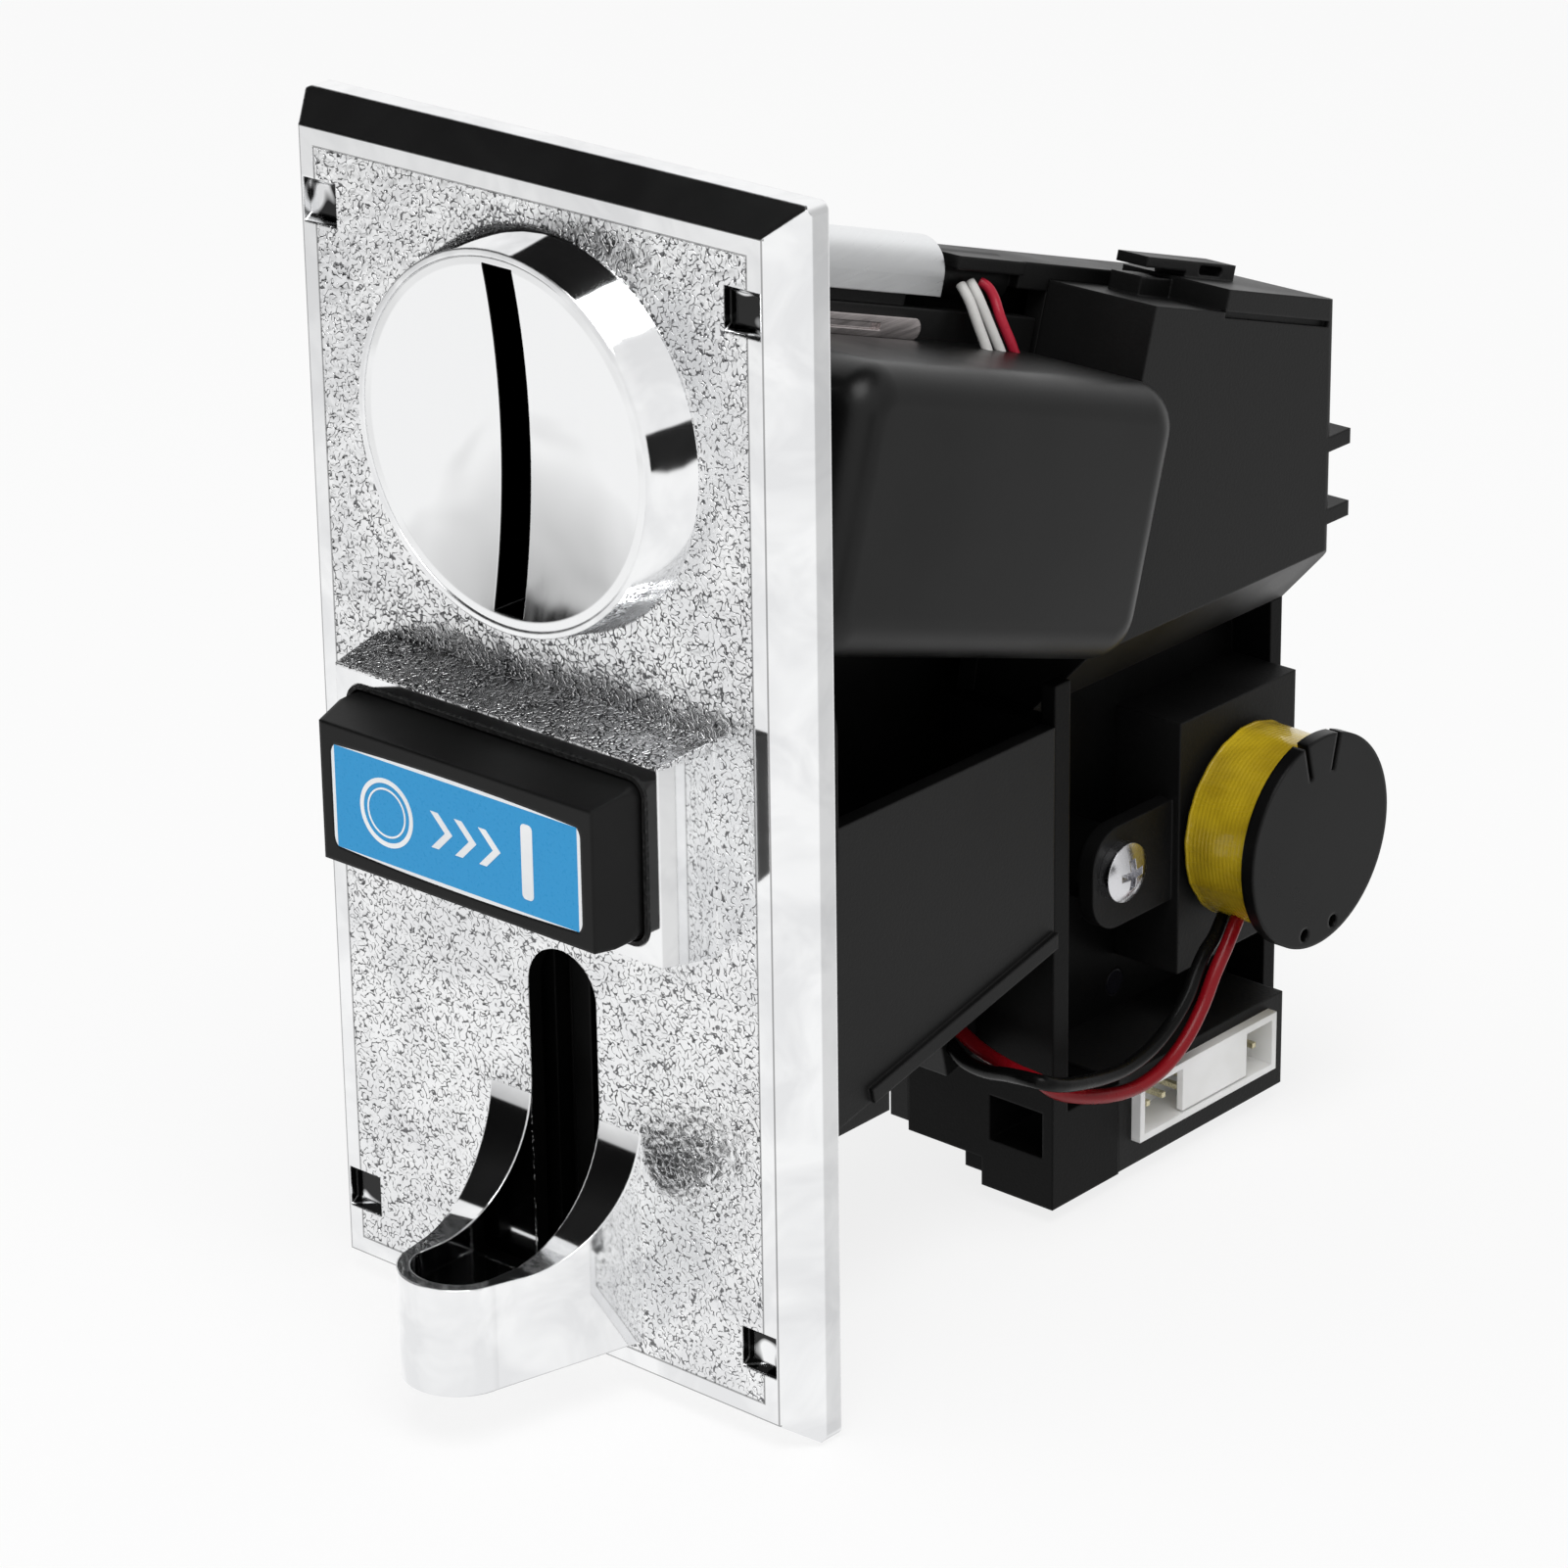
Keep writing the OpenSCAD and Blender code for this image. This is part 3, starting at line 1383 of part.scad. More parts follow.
module lower_body()
  color([0.11, 0.11, 0.12])
    difference() {
      union() {
        box(channel_x0, body_x1, post_y, post_y1, post_low_z, chute_top_z);
        box(body_x1 - wall_t, body_x1, post_y, post_y1, chute_top_z, post_top_z);
        box(foot_x0, body_x1, post_y, block_y, foot_z, block_z);
        box(drop_x1, drop_wall_x1, post_y1, rear_wall_y, foot_z, rear_low_z);
        box(drop_x1, flange_x1, rear_wall_y, rear_y, foot_z, rear_low_z);
        side_prism(channel_x0, drop_x1)
          return_floor_outline(wall_t);
        box(channel_x0, drop_x1, return_floor_y - wall_t, return_floor_y,
          chassis_low_z, return_floor_z + return_floor_rise - wall_t / 2);
        bar_x(ear_y, sol_z, sol_boss_r, drop_x1, ear_x1 - ear_t);
        box(drop_x1, ear_x1 - ear_t - wall_t, post_y1, ear_y, sol_z - wall_t / 2, sol_z + wall_t / 2);
      }
      box(channel_x0 - over, drop_x1, post_y - over, post_y1 + over, return_floor_z, chute_top_z + over);
      box(latch_x0, latch_x0 + latch_w, post_y - over, block_y - wall_t, latch_z0, latch_z0 + latch_h);
      blade_slope()
        box(drop_x1 - over, drop_wall_x1 + over, -blade_l / 2 - part_gap, blade_l / 2 + part_gap,
          -blade_t / 2 - part_gap, blade_t / 2 + part_gap);
      bar_x(ear_y, sol_z, sol_screw_r, ear_x1 - ear_t - sol_screw_l, ear_x1 + over);
      bar_x(eye_y, eye_z, eye_r, drop_x1 - over, drop_wall_x1 + over);
    }

// Hinge

module hinge_pin()
  color([0.8, 0.8, 0.82])
    along_track()
      bar_y(hinge_x, hinge_across, hinge_pin_r, hinge_pin_r, knuckle_s0, knuckle_s0 + hinge_pin_l);

module hinge_sleeve()
  color([0.78, 0.78, 0.8])
    along_track()
      difference() {
        union() {
          bar_y(hinge_x, hinge_across, sleeve_out_r, sleeve_out_r, barrel_s0, barrel_s0 + sleeve_l);
          box(hinge_x - sleeve_out_r, hinge_x + sleeve_out_r, barrel_s0, barrel_s0 + sleeve_l,
            hinge_across - sleeve_leg, hinge_across);
        }
        bar_y(hinge_x, hinge_across, sleeve_in_r, sleeve_in_r, barrel_s0 - over, knuckle_s2 + over);
        box(hinge_x - sleeve_in_r, hinge_x + sleeve_in_r, barrel_s0 - over, knuckle_s2 + over,
          hinge_across - sleeve_out_r - over, hinge_across);
        box(hinge_x - sleeve_out_r - over, hinge_x, barrel_s0 - over, knuckle_s2 + over,
          hinge_across - sleeve_out_r - over, hinge_across);
      }

module gate_spring() {
  gap = knuckle_s2 - barrel_s1;
  color([0.7, 0.7, 0.72])
    along_track()
      translate([hinge_x, barrel_s1 + spring_wire_r, hinge_across])
        rotate([-90, 0, 0])
          tube(
            helix(gate_spring_r, gap - 2 * spring_wire_r, gate_spring_turns, 12),
            spring_wire_r, 6, [1, 0, 0]
          );
}

// Gate

module gate_plate()
  color([0.1, 0.1, 0.11])
    difference() {
      union() {
        side_prism(channel_x1, gate_x1)
          polygon([
            on_track(gate_s0, gate_across0),
            [tail_y0, track_z(tail_y0, gate_across0)],
            [tail_y0, rod_z0 + part_gap],
            [tail_y1, rod_z0 + part_gap],
            [tail_y1, track_z(tail_y1, gate_across0)],
            on_track(gate_s1, gate_across0),
            on_track(gate_s1, gate_across1),
            on_track(gate_s0, gate_across1)
          ]);
        along_track() {
          bar_y(hinge_x, hinge_across, barrel_r, barrel_r, barrel_s0, barrel_s1);
          box(channel_x1, channel_x1 + web_t, barrel_s0, barrel_s1, gate_across1 - web_t,
              hinge_across - hinge_pin_r);
        }
        box(channel_x1 - tail_nose_w, channel_x1, tail_nose_y, tail_nose_y + tail_nose_l,
          rod_z0 + part_gap, rod_z0 + rod_h);
      }
      along_track()
        bar_y(hinge_x, hinge_across, hinge_pin_r + running_gap, hinge_pin_r + running_gap,
          barrel_s0 - over, barrel_s1 + over);
    }

module steel_strip()
  color([0.8, 0.78, 0.78])
    along_track()
      difference() {
        union() {
          box(gate_x1, gate_x1 + strip_t, gate_s0, strip_s1 - strip_w / 2, cover_across1,
              cover_across1 + strip_w);
          bar_x(strip_s1 - strip_w / 2, cover_across1 + strip_w / 2, strip_w / 2, gate_x1, gate_x1 + strip_t);
        }
        box(gate_x1 + strip_t / 2, gate_x1 + strip_t + over, strip_slot_s0, strip_slot_s1,
          cover_across1 + (strip_w - strip_slot_w) / 2, cover_across1 + (strip_w + strip_slot_w) / 2);
      }

// rounded block on the gate's outer face, drawn in by w all round
module cover_block(w)
  intersection() {
    side_prism(gate_x1, cover_x1 - w)
      round_rect(cover_s0 + w, cover_s1 - w, cover_across0 + w, cover_across1 - w, cover_corner_r - w);
    face_prism(cover_s0, cover_s1)
      round_rect(gate_x1 - cover_r, cover_x1 - w, cover_across0 + w, cover_across1 - w, cover_r - w);
    plan_prism(cover_across0, cover_across1)
      round_rect(gate_x1 - cover_r, cover_x1 - w, cover_s0 + w, cover_s1 - w, cover_r - w);
  }

module sensor_cover()
  color([0.12, 0.12, 0.13])
    along_track()
      difference() {
        cover_block(0);
        cover_block(cover_wall);
      }

module sensor_board()
  color([0.1, 0.3, 0.18])
    along_track()
      box(sensor_board_x, sensor_board_x + board_t,
        cover_s0 + cover_wall + cover_r, cover_s1 - cover_wall - cover_r,
        gate_across0 + cover_wall, cover_across1 - cover_wall);

// ring coil flat against the gate or the chassis wall
module flat_coil(s, r, x0, x1)
  along_track()
    difference() {
      bar_x(s, coil_across, r, x0, x1);
      bar_x(s, coil_across, coil_core_r, x0 - over, x1 + over);
    }

module sensor_coils()
  color([0.6, 0.32, 0.16]) {
    flat_coil(coil_a_s, coil_a_r, gate_x1, sensor_board_x);
    flat_coil(coil_b_s, coil_b_r, gate_x1, sensor_board_x);
  }

module fixed_coils()
  color([0.6, 0.32, 0.16]) {
    flat_coil(coil_a_s, coil_a_r, side_board_x, chassis_x0);
    flat_coil(coil_b_s, coil_b_r, side_board_x, chassis_x0);
  }

module sensor_leads_white()
  color([0.9, 0.9, 0.9])
    along_track()
      for (route = [white_route_a, white_route_b])
        tube(smooth_route(route, 4), thin_lead_r, 8, [0, 1, 0]);

module sensor_lead_red()
  color([0.78, 0.16, 0.22])
    along_track()
      tube(smooth_route(thin_red_route, 4), thin_lead_r, 8, [0, 1, 0]);

// Solenoid

module solenoid_bracket()
  color([0.11, 0.11, 0.12])
    difference() {
      union() {
        box(drop_wall_x1, bracket_x1, sol_y - bracket_half_y, rear_wall_y,
          sol_z - bracket_down, sol_z + bracket_up);
        side_prism(ear_x1 - ear_t, ear_x1)
          round_rect(ear_y - ear_r, sol_y - bracket_half_y + ear_r,
            sol_z - ear_down, sol_z + ear_up, ear_r);
      }
      box(drop_wall_x1 - over, bracket_x1 - bracket_wall, sol_y - bracket_room_y, sol_y + bracket_room_y,
        sol_z - bracket_room_z - over, sol_z + bracket_room_z);
      bar_x(sol_y, sol_z, plunger_bore_r, drop_wall_x1, bracket_x1 + over);
      bar_x(ear_y, sol_z, sol_screw_r + fit_gap, ear_x1 - ear_t - over, ear_x1 + over);
    }

module solenoid_screw()
  color([0.82, 0.82, 0.84])
    difference() {
      union() {
        bar_x(ear_y, sol_z, sol_screw_r, ear_x1 - ear_t - sol_screw_l, ear_x1);
        translate([ear_x1, ear_y, sol_z])
          rotate([0, 90, 0])
            intersection() {
              cylinder(r = sol_head_r, h = sol_head_h, $fn = 48);
              translate([0, 0, sol_head_h - sol_head_r * 2])
                sphere(r = sol_head_r * 2, $fn = 96);
            }
      }
      for (turn = [0, 90])
        translate([ear_x1 + sol_head_h - cross_depth, ear_y, sol_z])
          rotate([turn, 0, 0])
            box(0, cross_depth + over, -cross_l / 2, cross_l / 2, -cross_w / 2, cross_w / 2);
    }

module solenoid_bobbin()
  color([0.1, 0.1, 0.11])
    difference() {
      union() {
        bar_x(sol_y, sol_z, bobbin_flange_r, bobbin_x0, coil_x0);
        bar_x(sol_y, sol_z, bobbin_core_r, coil_x0, disc_x0);
        bar_x(sol_y, sol_z, disc_r, disc_x0, disc_x1);
      }
      bar_x(sol_y, sol_z, plunger_bore_r, bobbin_x0 - over, disc_x0);
      for (side = [-1, 1])
        translate([0, sol_y, sol_z])
          rotate([side * slit_angle, 0, 0]) {
            box(disc_x0 - over, disc_x1 + over, -slit_w / 2, slit_w / 2, disc_r - slit_l, disc_r + over);
            bar_x(0, lead_hole_r * 2 - disc_r, lead_hole_r, disc_x0 - over, disc_x1 + over);
          }
    }

module solenoid_coil()
  color([0.85, 0.72, 0.15])
    difference() {
      bar_x(sol_y, sol_z, coil_r, coil_x0, disc_x0);
      bar_x(sol_y, sol_z, bobbin_core_r, coil_x0 - over, disc_x0 + over);
    }

module plunger()
  color([0.7, 0.7, 0.72])
    bar_x(sol_y, sol_z, plunger_r, carrier_x1, disc_x0 - accept_travel - part_gap * 2);

module plunger_spring()
  color([0.7, 0.7, 0.72])
    translate([carrier_x1 + spring_wire_r, sol_y, sol_z])
      rotate([0, 90, 0])
        tube(
          helix(plunger_spring_r, bracket_x1 - bracket_wall - carrier_x1 - 2 * spring_wire_r,
            plunger_spring_turns, 12),
          spring_wire_r, 6, [1, 0, 0]
        );

module accept_gate()
  color([0.14, 0.14, 0.15]) {
    blade_slope()
      box(channel_x0 + blade_gap, carrier_x0 + carrier_t / 2, -blade_l / 2, blade_l / 2,
        -blade_t / 2, blade_t / 2);
    box(carrier_x0, carrier_x1, sol_y - carrier_half_y, sol_y + carrier_half_y,
      sol_z - carrier_down, sol_z + carrier_up);
  }

module coil_lead_red()
  color([0.75, 0.08, 0.1])
    tube(smooth_route(red_route, 4), lead_r, 8, [0, 1, 0]);

module coil_lead_black()
  color([0.06, 0.06, 0.07])
    tube(smooth_route(black_route, 4), lead_r, 8, [0, 1, 0]);

// Connector

module connector_carrier()
  color([0.1, 0.1, 0.11])
    difference() {
      box(drop_wall_x1, body_x1, block_y, carrier_y1, foot_z + fit_gap * 4, carrier_z1);
      box(conn_x0, body_x1 + over, conn_y0, conn_y0 + conn_l, conn_z0, conn_z0 + conn_h);
    }

module connector_housing()
  color([0.92, 0.92, 0.9])
    difference() {
      box(conn_x0, conn_x1, conn_y0, conn_y0 + conn_l, conn_z0, conn_z0 + conn_h);
      difference() {
        box(conn_x0 + conn_wall, conn_x1 + over, conn_y0 + conn_wall, conn_y0 + conn_l - conn_wall,
          conn_z0 + conn_wall, conn_z0 + conn_h - conn_wall);
        box(conn_x1 - conn_wall, conn_x1, conn_y0 + conn_tab_y, conn_y0 + conn_tab_y + conn_tab_w,
          conn_z0 + conn_tab_rise, conn_z0 + conn_h);
      }
    }

module connector_pins()
  color([0.8, 0.75, 0.5])
    for (i = [1:pin_count]) {
      y = conn_y0 + i * conn_l / (pin_count + 1);
      box(conn_x0 + conn_wall, conn_x0 + conn_wall + pin_l, y - pin_w / 2, y + pin_w / 2,
        conn_z0 + (conn_h - pin_w) / 2, conn_z0 + (conn_h + pin_w) / 2);
    }

// Side electronics

// outline of the side cover in the side view, drawn in by w all round
module side_outline(w)
  polygon([
    [side_y0 + w, side_z0 + w],
    [side_y0 + w, track_z(side_y0 + w, side_across1 - w)],
    [side_y1 - w, track_z(side_y1 - w, side_across1 - w)],
    [side_y1 - w, side_z0 + w]
  ]);

module control_board() {
  color([0.1, 0.3, 0.18])
    side_prism(side_board_x - board_t, side_board_x)
      side_outline(cover_wall + part_gap);
  color([0.12, 0.12, 0.12])
    box(side_board_x - board_t - chip_t, side_board_x - board_t,
      (side_y0 + side_y1) / 2 - chip_half, (side_y0 + side_y1) / 2 + chip_half, -chip_half, chip_half);
}

module side_cover()
  color([0.12, 0.12, 0.13])
    difference() {
      side_prism(side_x0, chassis_x0)
        side_outline(0);
      side_prism(side_x0 + cover_wall, chassis_x0 + over)
        side_outline(cover_wall);
    }

module exit_sensor()
  color([0.2, 0.2, 0.24]) {
    bar_x(eye_y, eye_z, eye_r, channel_x0 - eye_l, channel_x0);
    bar_x(eye_y, eye_z, eye_r, drop_x1, drop_wall_x1);
  }

front_plate();
coin_entry();
button_gasket();
button_cap();
button_label();
push_rod();
button_springs();
lamp_board();
back_frame();
plate_screws();
chassis();
channel_wall();
rear_cover();
return_chute();
lower_body();
hinge_pin();
hinge_sleeve();
gate_spring();
gate_plate();
steel_strip();
sensor_cover();
sensor_board();
sensor_coils();
sensor_leads_white();
sensor_lead_red();
solenoid_bracket();
solenoid_screw();
solenoid_bobbin();
solenoid_coil();
plunger();
plunger_spring();
accept_gate();
coil_lead_red();
coil_lead_black();
connector_carrier();
connector_housing();
connector_pins();
control_board();
side_cover();
fixed_coils();
exit_sensor();
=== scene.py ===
# Looks of the coin acceptor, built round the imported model. Lengths are in metres.
import math

import bmesh
import bpy
from mathutils import Matrix, Vector


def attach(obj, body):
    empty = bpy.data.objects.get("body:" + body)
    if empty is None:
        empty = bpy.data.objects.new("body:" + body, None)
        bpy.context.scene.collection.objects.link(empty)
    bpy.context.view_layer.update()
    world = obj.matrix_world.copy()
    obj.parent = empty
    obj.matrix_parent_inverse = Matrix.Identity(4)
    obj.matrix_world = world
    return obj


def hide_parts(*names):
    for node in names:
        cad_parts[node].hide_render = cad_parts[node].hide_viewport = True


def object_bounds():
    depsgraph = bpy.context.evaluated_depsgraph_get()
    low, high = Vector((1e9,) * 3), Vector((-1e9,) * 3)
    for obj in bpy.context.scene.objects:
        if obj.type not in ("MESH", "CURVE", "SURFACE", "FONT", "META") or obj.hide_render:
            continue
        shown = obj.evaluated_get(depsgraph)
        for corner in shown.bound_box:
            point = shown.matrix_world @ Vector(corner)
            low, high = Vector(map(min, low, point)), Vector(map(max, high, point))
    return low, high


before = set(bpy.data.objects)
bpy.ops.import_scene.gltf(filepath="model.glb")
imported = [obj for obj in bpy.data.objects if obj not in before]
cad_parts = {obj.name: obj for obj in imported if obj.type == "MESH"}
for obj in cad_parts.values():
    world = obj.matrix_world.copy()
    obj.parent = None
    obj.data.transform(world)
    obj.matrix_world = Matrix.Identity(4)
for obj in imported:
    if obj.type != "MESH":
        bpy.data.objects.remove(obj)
cad_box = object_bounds()

MM = 0.001

# Camera: place, turns in degrees and lens in millimetres, solved from the photograph
CAMERA_PLACE = (0.357561, -0.373265, 0.214325)
CAMERA_AZIMUTH = -41.606
CAMERA_DROP = 22.779
CAMERA_ROLL = -0.823
CAMERA_LENS = 130.94
CAMERA_SENSOR = 36.0
CAMERA_CLIP = 10 * MM

# Front plate, which fills the model's box across and upwards, with its bevel and smooth border
PLATE_HALF_W = cad_box[1][0]
PLATE_HALF_H = cad_box[1][2]
PLATE_FACE = -6.2 * MM
BEVEL = 2.75 * MM
BORDER = 1.85 * MM
BEVEL_HALF_W = PLATE_HALF_W - BEVEL
BEVEL_HALF_H = PLATE_HALF_H - BEVEL
FIELD_HALF_W = BEVEL_HALF_W - BORDER
FIELD_HALF_H = BEVEL_HALF_H - BORDER

# Box round the button
BOX_TOP = 10.25 * MM
BOX_HALF_W = 23.5 * MM

# Corner recesses and return slot of the plate
RECESS_X = 26 * MM
RECESS_Z = 54 * MM
RECESS_HALF_W = 3.7 * MM
RECESS_HALF_H = 4.5 * MM
RECESS_DEPTH = 1.7 * MM
RETURN_HALF_W = 5 * MM
RETURN_TOP = -10 * MM

# Coin entry: its slot and the ring round it
SLOT_X = 1.9 * MM
SLOT_Z = 36.85 * MM
SLOT_HALF = 1.9 * MM
SLOT_UP = 17.3 * MM
RING_Z = 36.6 * MM
RING_R = 17.9 * MM
RING_WALL = 3 * MM

# Tilt of the coin track in degrees, and the cover on the gate, with places along and across the track
TRACK_TILT = 17.3
GATE_OUTSIDE = 6 * MM
COVER_OUTSIDE = 26.8 * MM
COVER_ALONG = (-1 * MM, 51.2 * MM)
COVER_ACROSS = (16.3 * MM, 45.1 * MM)
COVER_WALL = 1.6 * MM
COVER_CORNER_R = 5.2 * MM
COVER_EDGE_R = 3.9 * MM

# Solenoid coil and its tape, with the lap's place as a turn in degrees
COIL_X = (18 * MM, 26.4 * MM)
COIL_Y = 84.4 * MM
COIL_Z = -28.8 * MM
COIL_R = 11 * MM
COIL_CORE_R = 4 * MM
TAPE_STEPS = 240
TAPE_ROWS = 34
TAPE_UNDER = 0.34 * MM
TAPE_CURL = 0.16 * MM
TAPE_CURL_REACH = 0.35 * MM
TAPE_LAP = 0.13 * MM
TAPE_LAP_TURN = 205
TAPE_LAP_SHARPNESS = 60
TAPE_LAP_FADE_SHARE = 0.2
TAPE_WRINKLE = 0.05 * MM
TAPE_PUCKER = 0.035 * MM
TAPE_PUCKER_REACH = 1.6 * MM

# Label on the button, and the print on it measured from the label's middle
LABEL_FACE = -18.8 * MM
LABEL_MID = (0.5 * MM, -1.55 * MM)
LABEL_HALF_W = 16.6 * MM
LABEL_HALF_H = 5.8 * MM
LABEL_RIM = 0.42 * MM
SIGN_HEIGHT = 0.05 * MM
SIGN_GAP = 0.004 * MM
SIGN_LINE = 0.5 * MM
SIGN_COIN_X = -9.2 * MM
SIGN_COIN_R = 3.6 * MM
SIGN_COIN_RIM = 0.2 * MM
SIGN_POINTERS = 3
SIGN_POINTER_X = -3.2 * MM
SIGN_POINTER_PITCH = 3.2 * MM
SIGN_POINTER_REACH = 1.9 * MM
SIGN_SLOT_X = 9.6 * MM
SIGN_SLOT_HALF = 0.75 * MM
SIGN_SLOT_UP = 3.9 * MM
SIGN_SLOT_CORNER_R = 0.5 * MM

# Black strip behind the plate, from its low corner to its high one
SEAL_LOW = (-3.4 * MM, -0.28 * MM, -52 * MM)
SEAL_HIGH = (-2.46 * MM, 0.6 * MM, -19 * MM)

# Leads of the coil and of the sensors
LEAD_R = 0.8 * MM
THIN_LEAD_R = 0.55 * MM

# Floor, a little under the model, and the share of it that glows for the camera
FLOOR_GAP = 0.2 * MM
FLOOR_Z = cad_box[0][2] - FLOOR_GAP
FLOOR_HALF = 3.0
FLOOR_GLOW_SHARE = 0.82

# Lamps: place, width and power in watts
KEY_PLACE = (0.45, -0.35, 1.3)
KEY_WIDTH = 0.8
KEY_POWER = 11
FILL_PLACE = (-0.9, -1.1, 0.5)
FILL_WIDTH = 0.9
FILL_POWER = 3

# Brightness of the room for matt surfaces
ROOM_LIGHT = 0.5

# Patches of the room in mirrors: way to the middle, outer and inner angle in degrees, brightness
ROOM_PATCHES = [
    # left, in front and above
    ((-0.76, -0.47, 0.44), 36, 35, 0.012),
    # overhead
    ((0.02, 0.05, 0.99), 36, 35, 0.012),
    # right
    ((0.97, -0.07, -0.04), 10, 9, 0.02),
    # underneath, towards the back
    ((-0.05, 0.38, -0.92), 25, 8, 0.45),
    # right and behind
    ((0.60, 0.70, 0.05), 45, 15, 0.6),
    # left and in front
    ((-0.76, -0.62, 0.15), 30, 4, 0.32),
]

# Colours
WHITE = (1, 1, 1)
FLOOR_WHITE = (0.9, 0.9, 0.9)
BLACK = (0.004, 0.004, 0.004)
DEEP_BLACK = (0.002, 0.002, 0.002)
BEZEL_BLACK = (0.006, 0.006, 0.006)
LENS_BLACK = (0.006, 0.006, 0.009)
SILVER = (0.91, 0.915, 0.92)
DIM_SILVER = (0.79, 0.795, 0.805)
# Painted shade on the plate round the ring and over the box
PAINTED_SHADE_GREY = (0.16, 0.16, 0.165)
# Painted shade along the plate's fine lines
CREASE_SHADE_GREY = (0.1, 0.1, 0.1)
# Painted shade in the plate's grooves
GROOVE_SHADE = (0.02, 0.02, 0.025)
# Painted dark reflections in the plate's corner recesses
RECESS_REFLECTION_DARK = (0.03, 0.03, 0.03)
ENTRY_SILVER = (0.88, 0.885, 0.89)
# Painted shade inside the coin entry's slot
ENTRY_SLOT_SHADE = (0.01, 0.01, 0.01)
SLEEVE_SILVER = (0.90, 0.91, 0.92)
STRIP_STEEL = (0.60, 0.55, 0.545)
ZINC = (0.66, 0.66, 0.68)
TINNED = (0.72, 0.66, 0.45)
DARK_AMBER = (0.44, 0.30, 0.011)
AMBER = (0.66, 0.47, 0.018)
# Painted shade between the turns of the sensor windings
SHADED_COPPER = (0.30, 0.10, 0.04)
COPPER = (0.75, 0.36, 0.17)
DARK_BLUE = (0.02, 0.30, 0.64)
BLUE = (0.03, 0.34, 0.69)
LABEL_WHITE = (0.86, 0.88, 0.9)
PRINT_WHITE = (0.84, 0.86, 0.88)
PLUG_WHITE = (0.78, 0.78, 0.75)
LEAD_WHITE = (0.74, 0.73, 0.71)
LEAD_RED = (0.25, 0.004, 0.009)
THIN_LEAD_RED = (0.48, 0.02, 0.045)
TRACK_GREEN = (0.05, 0.24, 0.12)
BOARD_GREEN = (0.015, 0.11, 0.06)

# Levels of a noise: its middle, the range that it mostly keeps to, and the part where two tones meet
NOISE_MIDDLE = 0.5
NOISE_LOW = 0.3
NOISE_HIGH = 0.7
TONE_LOW = 0.35
TONE_HIGH = 0.65

# Routes of the sensor leads in millimetres, as in the model: X, then along and across the coin track
WHITE_ROUTE_A = [
    (5.6, 37.6, 50.9), (6.4, 37.6, 50.2), (7.2, 37.8, 49.2), (8.4, 38.2, 47.2), (9.6, 38.8, 45),
    (10.2, 39, 43.6),
]
WHITE_ROUTE_B = [
    (5.6, 39, 51.3), (6.4, 39, 50.6), (7.2, 39.2, 49.6), (8.4, 40, 47.4), (9.6, 41, 45),
    (10.2, 41.5, 43.6),
]
THIN_RED_ROUTE = [
    (5.6, 40.6, 51.4), (6.4, 41.1, 51), (7.2, 41.5, 50), (8.4, 41.6, 48.2), (9.6, 42.6, 45.8),
    (10.2, 43.8, 43.6),
]

# Routes of the coil leads in millimetres, as in the model: X, Y and Z
RED_ROUTE = [
    (9.2, 45.9, -42.6), (12.5, 45.4, -43.7), (15.5, 45.1, -44.3), (18.4, 44.9, -44.6),
    (21, 45.1, -44.9), (21.8, 46.4, -46.2), (22.2, 48.4, -47.4), (22.6, 52, -48.8), (22.8, 56, -49.9),
    (22.8, 60.2, -50.4), (22.8, 64.4, -49.7), (22.8, 67.9, -47.8), (22.6, 71, -45.1),
    (22.4, 73.3, -42.2), (22.1, 75.8, -39.8), (21.7, 78.2, -37.5),
]
BLACK_ROUTE = [
    (9.2, 44.7, -44.1), (12, 44, -45), (15.5, 43.1, -44.7), (19, 42.2, -43.7), (22.4, 41.3, -42.8),
    (24.4, 41.7, -42.8), (24.8, 43.8, -43.7), (24.6, 46.7, -44.7), (24, 51.6, -46.1),
    (23.4, 56.5, -47), (22.8, 61.4, -46.9), (22.4, 65.5, -45.6), (22, 68.9, -43.6),
    (21.4, 71.3, -41.7), (20.8, 73.6, -40.3), (20.3, 76, -39.4), (19.6, 78.6, -37.9),
]


def rgba(colour):
    return (colour[0], colour[1], colour[2], 1.0)


def tint(colour, factor):
    """A darker colour where the factor is below one, or a paler one."""
    return tuple(c * factor for c in colour)


